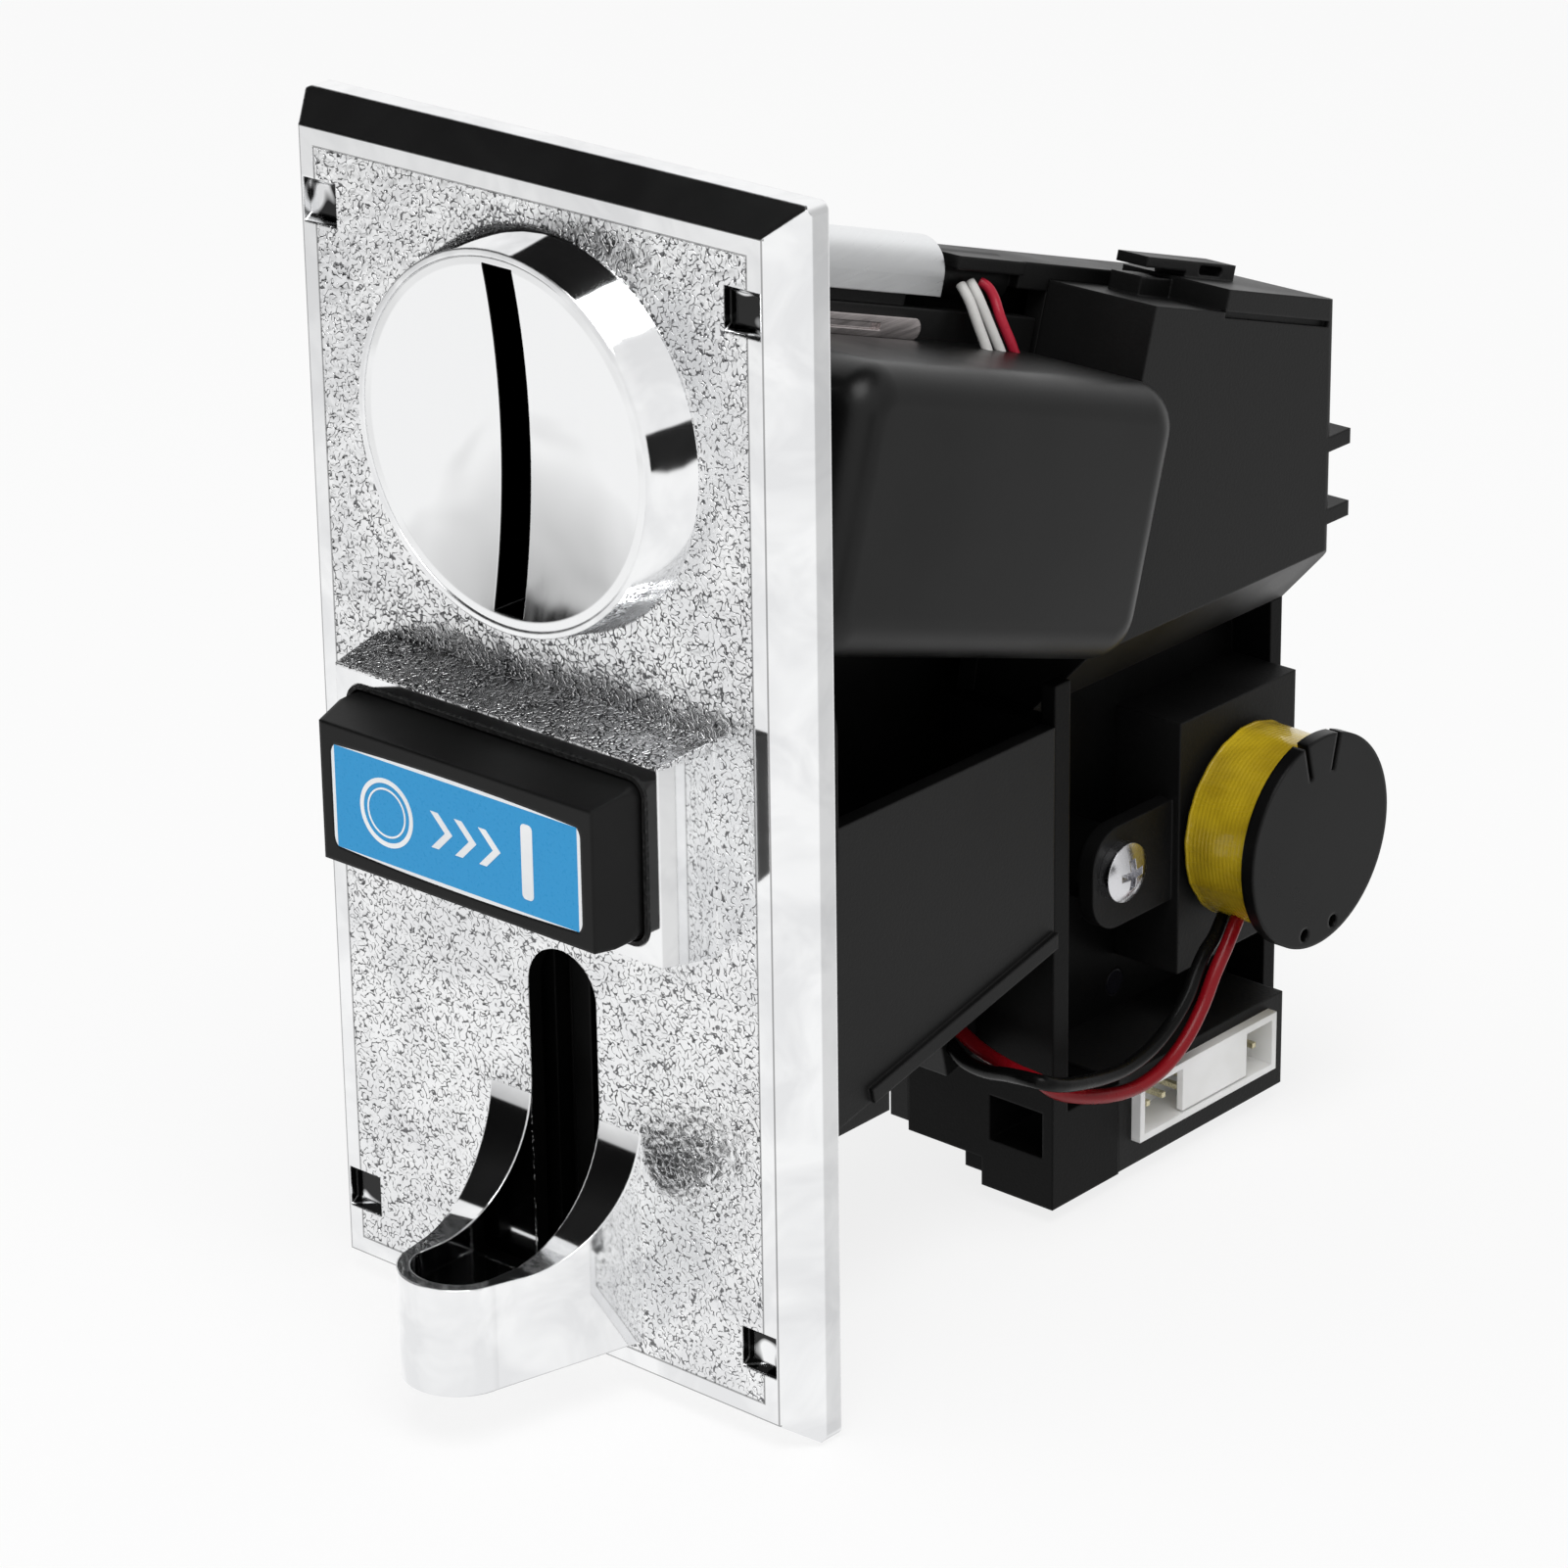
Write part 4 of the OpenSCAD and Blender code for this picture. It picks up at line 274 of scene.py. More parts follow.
class Nodes:
    """A node tree and short calls to build it."""

    def __init__(self, owner):
        owner.use_nodes = True
        self.tree = owner.node_tree
        self.tree.nodes.clear()

    def add(self, kind):
        return self.tree.nodes.new(kind)

    def join(self, a, b):
        self.tree.links.new(a, b)

    def put(self, socket, value):
        """Link what another node gives, or set a plain value."""
        if isinstance(value, bpy.types.NodeSocket):
            self.join(value, socket)
        else:
            socket.default_value = value

    def math(self, what, a, b=0.0, c=0.0):
        node = self.add("ShaderNodeMath")
        node.operation = what
        for socket, value in zip(node.inputs, (a, b, c)):
            self.put(socket, value)
        return node.outputs[0]

    def plus(self, a, b):
        return self.math("ADD", a, b)

    def minus(self, a, b):
        return self.math("SUBTRACT", a, b)

    def times(self, *values):
        total = values[0]
        for value in values[1:]:
            total = self.math("MULTIPLY", total, value)
        return total

    def rest(self, share):
        """What a share leaves of one."""
        return self.minus(1.0, share)

    def most(self, a, b):
        return self.math("MAXIMUM", a, b)

    def least(self, a, b):
        return self.math("MINIMUM", a, b)

    def below(self, value, limit):
        """One where the value is under the limit, else zero."""
        return self.math("LESS_THAN", value, limit)

    def beyond(self, value, limit):
        """One where the value is over the limit, else zero."""
        return self.math("GREATER_THAN", value, limit)

    def away(self, value, middle=0.0):
        """Distance of a value from a middle."""
        return self.math("ABSOLUTE", self.minus(value, middle))

    def ramp(self, value, low, high, to_low=0.0, to_high=1.0):
        """Straight rise from one level to another, flat outside its ends."""
        node = self.add("ShaderNodeMapRange")
        self.put(node.inputs["Value"], value)
        self.put(node.inputs["From Min"], low)
        self.put(node.inputs["From Max"], high)
        self.put(node.inputs["To Min"], to_low)
        self.put(node.inputs["To Max"], to_high)
        return node.outputs[0]

    def mix(self, share, a, b):
        """Surface a where the share is zero, surface b where it is one."""
        node = self.add("ShaderNodeMixShader")
        self.join(share, node.inputs[0])
        self.join(a, node.inputs[1])
        self.join(b, node.inputs[2])
        return node.outputs[0]


class Shader(Nodes):
    """A material with one principled surface, and short calls for its textures."""

    def __init__(self, name):
        self.material = bpy.data.materials.new(name)
        super().__init__(self.material)
        out = self.add("ShaderNodeOutputMaterial")
        self.skin = self.add("ShaderNodeBsdfPrincipled")
        self.join(self.skin.outputs["BSDF"], out.inputs["Surface"])
        self.place = self.add("ShaderNodeTexCoord").outputs["Object"]

    def set(self, **values):
        for name, value in values.items():
            self.put(self.skin.inputs[name.replace("_", " ")], value)

    def axes(self, vector=None):
        """The three numbers of a vector, or of the place on the model."""
        node = self.add("ShaderNodeSeparateXYZ")
        self.join(vector or self.place, node.inputs[0])
        return node.outputs

    def stretched(self, scale, turn=(0, 0, 0)):
        node = self.add("ShaderNodeMapping")
        node.inputs["Scale"].default_value = scale
        node.inputs["Rotation"].default_value = turn
        self.join(self.place, node.inputs["Vector"])
        return node.outputs[0]

    def noise(self, size, detail=2.0, rough=0.5, place=None, warp=0.0):
        node = self.add("ShaderNodeTexNoise")
        node.inputs["Scale"].default_value = 1 / size
        node.inputs["Detail"].default_value = detail
        node.inputs["Roughness"].default_value = rough
        node.inputs["Distortion"].default_value = warp
        self.join(place or self.place, node.inputs["Vector"])
        return node.outputs["Fac"]

    def cells(self, size, feature="F1"):
        node = self.add("ShaderNodeTexVoronoi")
        node.feature = feature
        node.inputs["Scale"].default_value = 1 / size
        self.join(self.place, node.inputs["Vector"])
        return node.outputs["Distance"]

    def waves(self, value, length):
        """Sine waves of a given length along a value."""
        return self.math("SINE", self.times(value, 2 * math.pi / length))

    def vary(self, noise, low, high):
        """A level that wanders between two values with a noise."""
        return self.ramp(noise, NOISE_LOW, NOISE_HIGH, low, high)

    def two_tone(self, noise, a, b):
        """Colours a and b in clouds that follow a noise."""
        return self.blend(self.ramp(noise, TONE_LOW, TONE_HIGH), a, b)

    def blend(self, share, a, b):
        """Colour a where the share is zero, colour b where it is one."""
        node = self.add("ShaderNodeMixRGB")
        self.put(node.inputs["Fac"], share)
        self.put(node.inputs["Color1"], rgba(a) if isinstance(a, tuple) else a)
        self.put(node.inputs["Color2"], rgba(b) if isinstance(b, tuple) else b)
        return node.outputs["Color"]

    def bump(self, height, depth, under=None):
        node = self.add("ShaderNodeBump")
        node.inputs["Distance"].default_value = depth
        self.put(node.inputs["Height"], height)
        if under is not None:
            self.join(under, node.inputs["Normal"])
        return node.outputs["Normal"]

    def lean(self, normal, share, way):
        """Turn the normal towards a way where the share is one, as a mould's draft does."""
        push = self.add("ShaderNodeVectorMath")
        push.operation = "SCALE"
        push.inputs[0].default_value = way
        self.put(push.inputs["Scale"], share)
        total = self.add("ShaderNodeVectorMath")
        total.operation = "ADD"
        self.join(normal, total.inputs[0])
        self.join(push.outputs[0], total.inputs[1])
        whole = self.add("ShaderNodeVectorMath")
        whole.operation = "NORMALIZE"
        self.join(total.outputs[0], whole.inputs[0])
        return whole.outputs[0]

    def soft_edges(self, radius, samples=6):
        node = self.add("ShaderNodeBevel")
        node.samples = samples
        node.inputs["Radius"].default_value = radius
        return node.outputs["Normal"]


class PlateShader(Shader):
    """The front plate's chrome. Each zone of the plate is a share, one inside it and zero outside."""

    FACE_REACH = 0.1 * MM
    SUNK_FROM = 0.2 * MM

    def __init__(self, name):
        super().__init__(name)
        self.x, y, self.z = self.axes()
        self.deep = self.minus(y, PLATE_FACE)
        beside = self.minus(FIELD_HALF_W, self.away(self.x))
        above = self.minus(FIELD_HALF_H, self.away(self.z))
        self.inset = self.least(beside, above)
        off_x = self.math("POWER", self.minus(self.x, SLOT_X), 2.0)
        off_z = self.math("POWER", self.minus(self.z, RING_Z), 2.0)
        self.from_ring = self.math("SQRT", self.plus(off_x, off_z))
        self.on_face = self.below(self.away(self.deep), self.FACE_REACH)
        self.inside = self.beyond(self.inset, 0.0)
        self.sunk = self.beyond(self.deep, self.SUNK_FROM)

    def border_line(self):
        """Fine sunk line between the grooved field and its smooth border, which also takes painted
        shade.
        """
        half_width = 0.11 * MM
        return self.times(self.on_face, self.below(self.away(self.inset), half_width))

    def crease(self):
        """Fine line where the face turns into the bevel, which takes painted shade."""
        half_width = 0.09 * MM
        beside = self.away(self.away(self.x), BEVEL_HALF_W)
        above = self.away(self.away(self.z), BEVEL_HALF_H)
        near = self.below(self.least(beside, above), half_width)
        return self.times(near, self.below(self.away(self.deep), self.SUNK_FROM))

    def ledge(self):
        """Top of the box round the button and the face just over it, fading upwards."""
        fade_start = 1 * MM
        fade_end = 6 * MM
        foot = 1.2 * MM
        height = self.ramp(self.z, BOX_TOP + fade_end, BOX_TOP + fade_start)
        height = self.times(height, self.beyond(self.z, BOX_TOP - foot))
        return self.times(height, self.below(self.away(self.x), BOX_HALF_W))

    def halo(self):
        """Face close round the upper half of the ring, where painted shade goes."""
        fade_start = 1.5 * MM
        fade_end = 5 * MM
        low = 4 * MM
        high = 15 * MM
        upper = self.ramp(self.minus(self.z, RING_Z), low, high)
        return self.times(self.ramp(self.from_ring, RING_R + fade_end, RING_R + fade_start), upper)

    def painted_shade(self, ledge):
        """Painted shade in cloudy patches of the halo and the ledge."""
        cloud_size = 4 * MM
        clouds = self.ramp(self.noise(cloud_size, 2.0, warp=0.5), 0.35, 0.55)
        return self.times(self.most(self.halo(), ledge), clouds)

    def field(self, ledge):
        """The part of the face and of the ledge that is grooved."""
        face = self.times(self.on_face, self.inside)
        return self.most(face, self.times(ledge, self.below(self.deep, self.FACE_REACH)))

    def worms(self, shaded):
        """Short worm-like grooves, wider and unbroken where the plate takes painted shade."""
        worm_size = 0.58 * MM
        break_size = 0.7 * MM
        core = 0.02
        rim = 0.07
        shaded_rim = 0.05
        worms = self.away(self.noise(worm_size, 0.0, 0.4, warp=0.4), NOISE_MIDDLE)
        broken = self.ramp(self.noise(break_size, 1.0), 0.42, 0.54, 0.1, 1.0)
        width = self.plus(rim, self.times(shaded, shaded_rim))
        return self.times(self.ramp(worms, width, core), self.most(broken, shaded))

    def recess(self):
        """The four corner recesses, down to their floors."""
        wide = self.math("COMPARE", self.away(self.x), RECESS_X, RECESS_HALF_W)
        high = self.math("COMPARE", self.away(self.z), RECESS_Z, RECESS_HALF_H)
        return self.times(self.sunk, self.below(self.deep, RECESS_DEPTH), self.times(wide, high))

    def return_slot(self):
        """Walls inside the return slot, where painted shade goes."""
        near = self.below(self.away(self.x, SLOT_X), RETURN_HALF_W)
        low = self.below(self.z, RETURN_TOP)
        return self.times(self.sunk, self.inside, self.times(near, low))

    def ring_wall(self):
        """Outside of the ring round the coin entry."""
        stands_out = 0.3 * MM
        wall = self.below(self.from_ring, RING_R + RING_WALL)
        wall = self.times(wall, self.beyond(self.from_ring, RING_R))
        return self.times(wall, self.below(self.deep, -stands_out))

    def colour(self, cloud, shaded, groove, edges, return_slot_shade):
        """Silver in two tones, with painted shade round the ring and over the box, in the grooves, along
        the fine lines and in the return slot, and painted dark reflections in the recesses.
        """
        facet_size = 3.4 * MM
        shade_share = 0.12
        groove_shade_share = 0.84
        crease_shade_share = 0.6
        silver = self.blend(self.ramp(cloud, 0.38, 0.62), DIM_SILVER, SILVER)
        # Painted shade round the upper half of the ring and over the box round the button
        silver = self.blend(self.times(shaded, shade_share), silver, PAINTED_SHADE_GREY)
        # Painted shade in the worm-like grooves
        grooved = self.blend(self.times(groove, groove_shade_share), silver, GROOVE_SHADE)
        # Painted dark reflections in the corner recesses, as dark facets among silver ones
        facets = self.ramp(self.noise(facet_size, 0.0, warp=0.8), 0.44, 0.54)
        with_recess_reflections = self.blend(self.times(self.recess(), self.rest(facets)), grooved, RECESS_REFLECTION_DARK)
        # Painted shade along the fine lines at the border and the bevel
        crease_shaded = self.blend(self.times(edges, crease_shade_share), with_recess_reflections, CREASE_SHADE_GREY)
        # Painted shade inside the return slot
        return self.blend(return_slot_shade, crease_shaded, BLACK)


def chrome_plate():
    """Chrome: a field of fine worm-like grooves inside a smooth border, with painted shade inside the
    return slot and painted dark reflections in the corner recesses.
    """
    lump_size = 1.3 * MM
    cloud_size = 9 * MM
    relief = 0.12 * MM
    edge_r = 0.3 * MM
    lump_share = 0.9
    calmed_share = 0.6
    field_rough = 0.14
    ring_draft = (0, -0.30, 0)
    s = PlateShader("chrome plate")
    ledge = s.ledge()
    # Painted shade round the ring and over the box, in cloudy patches
    shaded = s.painted_shade(ledge)
    field = s.field(ledge)
    groove = s.times(s.worms(shaded), field)
    line = s.border_line()
    # Painted shade inside the return slot: black, not metal and not shiny
    return_slot_shade = s.return_slot()
    cloud = s.noise(cloud_size, 3.0, 0.6, warp=0.6)
    lumps = s.times(s.noise(lump_size, 1.0, warp=0.6), field, s.rest(s.times(shaded, calmed_share)))
    height = s.minus(s.minus(s.times(lumps, lump_share), groove), line)
    s.set(Metallic=s.rest(return_slot_shade))
    s.set(Base_Color=s.colour(cloud, shaded, groove, s.most(line, s.crease()), return_slot_shade))
    s.set(Specular_IOR_Level=s.times(s.rest(return_slot_shade), 0.5))
    s.set(Roughness=s.plus(s.times(field, field_rough), s.vary(cloud, 0.04, 0.07)))
    s.set(Normal=s.lean(s.bump(height, relief, s.soft_edges(edge_r)), s.ring_wall(), ring_draft))
    return s.material


def mirror_metal():
    """Polished disc of the coin entry, softly dished, with painted shade inside the slot."""
    streak_size = 1.2 * MM
    dish_size = 11 * MM
    relief = 0.25 * MM
    edge_r = 0.25 * MM
    skin = 0.05 * MM
    slot_shade_share = 0.93
    s = Shader("entry metal")
    x, _, z = s.axes()
    streak = s.noise(streak_size, 2.0, place=s.stretched((1, 1, 0.08)))
    slot_off = s.away(x, SLOT_X)
    slot_up = s.away(z, SLOT_Z)
    sides = s.times(s.below(s.away(slot_off, SLOT_HALF), skin), s.below(slot_up, SLOT_UP))
    ends = s.times(s.below(slot_off, SLOT_HALF), s.below(slot_up, SLOT_UP + skin))
    # Painted shade on the walls and ends of the slot
    dark = s.times(s.most(sides, ends), slot_shade_share)
    s.set(Metallic=1.0, Base_Color=s.blend(dark, ENTRY_SILVER, ENTRY_SLOT_SHADE))
    s.set(Roughness=s.vary(streak, 0.06, 0.1))
    s.set(Normal=s.bump(s.noise(dish_size, 1.0, warp=0.5), relief, s.soft_edges(edge_r)))
    return s.material


def moulded(name, colour, rough, pit=0.02 * MM, edge_r=0.35 * MM, spread=0.12, shine=0.5):
    """Moulded plastic: fine texture, slow changes of gloss and softened edges."""
    grain_size = 0.35 * MM
    gloss_size = 14 * MM
    s = Shader(name)
    fine = s.noise(grain_size, 3.0, 0.6)
    slow = s.noise(gloss_size, 3.0)
    pale = tuple(min(1.0, c * 1.35 + 0.001) for c in colour)
    gloss = s.vary(slow, rough - spread / 2, rough + spread / 2)
    s.set(Base_Color=s.two_tone(slow, colour, pale))
    s.set(Specular_IOR_Level=shine)
    s.set(Roughness=s.plus(gloss, s.times(fine, 0.05)))
    s.set(Normal=s.bump(fine, pit, s.soft_edges(edge_r)))
    return s.material


def pebbled(name, colour, rough):
    """Rubber-like skin with small pebbles, with painted highlight on their tops."""
    pebble_size = 0.55 * MM
    relief = 0.12 * MM
    s = Shader(name)
    pebble = s.cells(pebble_size)
    # Painted highlight: paler on the pebbles' tops
    s.set(Base_Color=s.blend(s.ramp(pebble, 0.0, 0.6), tint(colour, 1.6), colour))
    s.set(Specular_IOR_Level=0.3)
    s.set(Roughness=s.ramp(pebble, 0.1, 0.6, rough - 0.1, rough + 0.15))
    s.set(Normal=s.bump(s.ramp(pebble, 0.6, 0.0), relief))
    return s.material


def brushed(name, colour, rough, along, grain=0.25 * MM, underside_shade=1.0):
    """Metal brushed along one way, given as the stretch of its streaks, with painted shade underneath.
    """
    gloss_size = 8 * MM
    relief = 0.01 * MM
    edge_r = 0.15 * MM
    s = Shader(name)
    streak = s.noise(grain, 3.0, 0.6, place=s.stretched(along, (math.radians(TRACK_TILT), 0, 0)))
    slow = s.noise(gloss_size, 2.0)
    upward = s.axes(s.add("ShaderNodeNewGeometry").outputs["Normal"])[2]
    grained = s.blend(streak, tint(colour, 0.86), colour)
    gloss = s.vary(streak, rough - 0.06, rough + 0.06)
    s.set(Metallic=1.0)
    # Painted shade: darker where the surface faces down
    s.set(Base_Color=s.blend(s.ramp(upward, -0.3, 0.85), tint(colour, underside_shade), grained))
    s.set(Roughness=s.plus(gloss, s.times(slow, 0.06)))
    s.set(Normal=s.bump(streak, relief, s.soft_edges(edge_r)))
    return s.material


def tape():
    """Amber yellow tape over wound wire: the wire's ridges and the tape's wrinkles show."""
    wire_pitch = 0.5 * MM
    wrinkle_size = 2.2 * MM
    tone_size = 6 * MM
    relief = 0.10 * MM
    s = Shader("coil tape")
    ridges = s.waves(s.axes()[0], wire_pitch)
    wrinkle = s.noise(wrinkle_size, 3.0, 0.6, place=s.stretched((0.35, 1, 1)), warp=0.8)
    s.set(Base_Color=s.two_tone(s.noise(tone_size, 2.0), DARK_AMBER, AMBER))
    s.set(Roughness=s.vary(wrinkle, 0.2, 0.34))
    s.set(Coat_Weight=0.6, Coat_Roughness=0.08)
    s.set(Normal=s.bump(s.plus(s.times(ridges, 0.12), wrinkle), relief))
    return s.material


def lead(name, colour, shine=0.22):
    """Glossy insulation with faint unevenness."""
    tone_size = 3 * MM
    grain_size = 0.5 * MM
    relief = 0.015 * MM
    s = Shader(name)
    slow = s.noise(tone_size, 2.0)
    s.set(Base_Color=s.blend(slow, tint(colour, 0.85), colour))
    s.set(Roughness=s.vary(slow, 0.22, 0.34), Specular_IOR_Level=shine)
    s.set(Normal=s.bump(s.noise(grain_size, 2.0), relief))
    return s.material


def board(name):
    """Green circuit board with paler tracks."""
    track_pitch = 2.5 * MM
    relief = 0.03 * MM
    s = Shader(name)
    off_track = s.ramp(s.cells(track_pitch, "DISTANCE_TO_EDGE"), 0.04, 0.08)
    s.set(Base_Color=s.blend(off_track, TRACK_GREEN, BOARD_GREEN))
    s.set(Roughness=0.32)
    s.set(Normal=s.bump(off_track, relief))
    return s.material


def winding(name):
    """Fine enamelled copper wire wound round X, with painted shade between its turns."""
    wire_pitch = 0.25 * MM
    gloss_size = 2 * MM
    relief = 0.04 * MM
    s = Shader(name)
    ridges = s.waves(s.axes()[0], wire_pitch)
    s.set(Metallic=1.0)
    # Painted shade in the troughs between the turns, plain copper on their crests
    s.set(Base_Color=s.blend(s.ramp(ridges, -1, 1), SHADED_COPPER, COPPER))
    s.set(Roughness=s.vary(s.noise(gloss_size, 2.0), 0.22, 0.34))
    s.set(Normal=s.bump(ridges, relief))
    return s.material


def label_print():
    """Blue label with a thin white border inside its edge."""
    dot_size = 0.3 * MM
    wave_size = 5 * MM
    relief = 0.02 * MM
    s = Shader("label")
    x, _, z = s.axes()
    beside = s.minus(LABEL_HALF_W, s.away(x, LABEL_MID[0]))
    above = s.minus(LABEL_HALF_H, s.away(z, LABEL_MID[1]))
    rim = s.below(s.least(beside, above), LABEL_RIM)
    dots = s.noise(dot_size, 2.0)
    s.set(Base_Color=s.blend(rim, s.blend(dots, DARK_BLUE, BLUE), LABEL_WHITE))
    s.set(Roughness=s.vary(dots, 0.26, 0.34))
    s.set(Specular_IOR_Level=0.25)
    s.set(Normal=s.bump(s.noise(wave_size, 1.0), relief))
    return s.material


satin = moulded("satin black", BLACK, 0.42, shine=0.2)
smooth_black = moulded("smooth black", BLACK, 0.34, pit=0.006 * MM, edge_r=0.5 * MM, shine=0.25)
gloss_black = moulded("gloss black", BLACK, 0.3, pit=0.006 * MM, edge_r=0.5 * MM, shine=0.16)
dull_black = moulded("dull black", BLACK, 0.5, pit=0.03 * MM, shine=0.2)
deep_black = moulded("deep black", DEEP_BLACK, 0.4, shine=0.08)
steel = brushed("zinc plated steel", ZINC, 0.20, (1, 1, 1), grain=0.4 * MM)
copper = winding("sensor windings")
green = board("circuit board")
white_plug = moulded("white plug", PLUG_WHITE, 0.34, pit=0.008 * MM, edge_r=0.2 * MM, spread=0.06)
print_white = moulded("white print", PRINT_WHITE, 0.4, pit=0.004 * MM, edge_r=0.02 * MM, spread=0.04)
red_skin = lead("red lead", LEAD_RED)
black_skin = lead("black lead", BLACK, shine=0.1)
thin_red_skin = lead("thin red lead", THIN_LEAD_RED)
white_skin = lead("white lead", LEAD_WHITE)

materials = {
    "front_plate": chrome_plate(),
    "coin_entry": mirror_metal(),
    "button_gasket": pebbled("bezel", BEZEL_BLACK, 0.55),
    "button_label": label_print(),
    # The sleeve takes painted shade underneath
    "hinge_sleeve": brushed("sleeve", SLEEVE_SILVER, 0.30, (0.05, 0.05, 1), underside_shade=0.62),
    "steel_strip": brushed("strip", STRIP_STEEL, 0.16, (1, 0.03, 1), grain=0.6 * MM),
    "solenoid_coil": tape(),
    "connector_housing": white_plug,
    "connector_pins": brushed("tinned contacts", TINNED, 0.25, (1, 1, 1), grain=0.3 * MM),
    "exit_sensor": moulded("dark lens", LENS_BLACK, 0.12, pit=0.004 * MM, shine=0.2),
    "coil_lead_red": red_skin,
    "coil_lead_black": black_skin,
    "sensor_lead_red": thin_red_skin,
    "sensor_leads_white": white_skin,
}
shared_materials = [
    (satin, ("chassis", "channel_wall", "rear_cover", "return_chute", "gate_plate")),
    (smooth_black, ("sensor_cover", "side_cover")),
    (gloss_black, ("button_cap", "solenoid_bobbin")),
    (dull_black, ("solenoid_bracket", "connector_carrier", "accept_gate")),
    (deep_black, ("lower_body", "back_frame", "push_rod")),
    (steel, ("plate_screws", "hinge_pin", "solenoid_screw", "plunger")),
    (steel, ("button_springs", "gate_spring", "plunger_spring")),
    (copper, ("sensor_coils", "fixed_coils")),
    (green, ("lamp_board", "sensor_board", "control_board")),
]
for material, names in shared_materials:
    for name in names:
        materials[name] = material

for name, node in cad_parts.items():
    node.data.materials.clear()
    node.data.materials.append(materials[name])


def make_camera():
    """The camera of the photograph."""
    azimuth = math.radians(CAMERA_AZIMUTH)
    drop = math.radians(CAMERA_DROP)
    roll = math.radians(CAMERA_ROLL)
    level = math.cos(drop)
    forward = Vector((math.sin(azimuth) * level, math.cos(azimuth) * level, -math.sin(drop)))
    flat_right = Vector((math.cos(azimuth), -math.sin(azimuth), 0))
    flat_up = flat_right.cross(forward)
    right = flat_right * math.cos(roll) + flat_up * math.sin(roll)
    up = flat_up * math.cos(roll) - flat_right * math.sin(roll)
    data = bpy.data.cameras.new("camera")
    data.lens = CAMERA_LENS
    data.sensor_width = CAMERA_SENSOR
    data.clip_start = CAMERA_CLIP
    camera = bpy.data.objects.new("camera", data)
    bpy.context.scene.collection.objects.link(camera)
    turn = Matrix((right, up, -forward)).transposed()
    camera.matrix_world = Matrix.Translation(CAMERA_PLACE) @ turn.to_4x4()
    bpy.context.scene.camera = camera


def make_piece(name, points, faces, body, material, smooth=True):
    """A mesh that rides a body and takes the finish that it is given."""
    mesh = bpy.data.meshes.new(name)
    mesh.from_pydata(points, [], faces)
    form = bmesh.new()
    form.from_mesh(mesh)
    bmesh.ops.recalc_face_normals(form, faces=form.faces)
    form.to_mesh(mesh)
    form.free()
    for polygon in mesh.polygons:
        polygon.use_smooth = smooth
    mesh.materials.append(material)
    piece = bpy.data.objects.new(name, mesh)
    bpy.context.scene.collection.objects.link(piece)
    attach(piece, body)
    return piece


def turns(count):
    """Equal steps once round, in radians."""
    return [2 * math.pi * k / count for k in range(count)]


def walls(rows, count, start=0, closed=False):
    """Faces between neighbouring rows of points, with count points once round in each row."""
    faces = []
    for i in range(rows if closed else rows - 1):
        low = start + i * count
        high = start + (i + 1) % rows * count
        for k in range(count):
            m = (k + 1) % count
            faces.append((low + k, low + m, high + m, high + k))
    return faces


def on_track(x, along, across):
    """Place of a point given by X and by its distances along and across the coin track."""
    tilt = math.radians(TRACK_TILT)
    y = along * math.cos(tilt) + across * math.sin(tilt)
    z = across * math.cos(tilt) - along * math.sin(tilt)
    return Vector((x, y, z))


def smooth_route(route, steps=6):
    """Points on a smooth curve through all the points of a route."""
    way = [Vector(point) for point in route]
    points = []
    for i in range(len(way) - 1):
        a, b, c, d = way[max(i - 1, 0)], way[i], way[i + 1], way[min(i + 2, len(way) - 1)]
        for k in range(steps):
            t = k / steps
            curve = (c - a) * t + (2 * a - 5 * b + 4 * c - d) * t ** 2 + (3 * b - a - 3 * c + d) * t ** 3
            points.append(b + curve / 2)
    points.append(way[-1])
    return points


def make_lead(name, route, radius, body, material, sides=16):
    """Round insulated wire along a route, closed at both ends."""
    path = smooth_route(route)
    points = []
    side = Vector((0, 1, 0))
    for i, place in enumerate(path):
        head = (path[min(i + 1, len(path) - 1)] - path[max(i - 1, 0)]).normalized()
        side = (side - head * side.dot(head)).normalized()
        across = head.cross(side)
        for turn in turns(sides):
            points.append(place + radius * (math.cos(turn) * side + math.sin(turn) * across))
    faces = walls(len(path), sides)
    faces.append(tuple(range(sides)))
    faces.append(tuple(range(len(points) - sides, len(points))))
    return make_piece(name, points, faces, body, material)


def in_metres(route):
    return [Vector(point) * MM for point in route]


def by_track(route):
    """Places of a route whose points are given along and across the coin track."""
    return [on_track(*point) for point in in_metres(route)]


def make_leads():
    """All five leads. Those of the sensors ride the gate, those of the coil stay with the body."""
    for i, route in enumerate((WHITE_ROUTE_A, WHITE_ROUTE_B)):
        path = by_track(route)
        white = make_lead("white_lead_%d" % i, path, THIN_LEAD_R, "gate", white_skin)
        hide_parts("sensor_leads_white")
    path = by_track(THIN_RED_ROUTE)
    thin_red = make_lead("thin_red_lead", path, THIN_LEAD_R, "gate", thin_red_skin)
    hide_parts("sensor_lead_red")
    red = make_lead("red_lead", in_metres(RED_ROUTE), LEAD_R, "acceptor", red_skin)
    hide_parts("coil_lead_red")
    black = make_lead("black_lead", in_metres(BLACK_ROUTE), LEAD_R, "acceptor", black_skin)
    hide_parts("coil_lead_black")


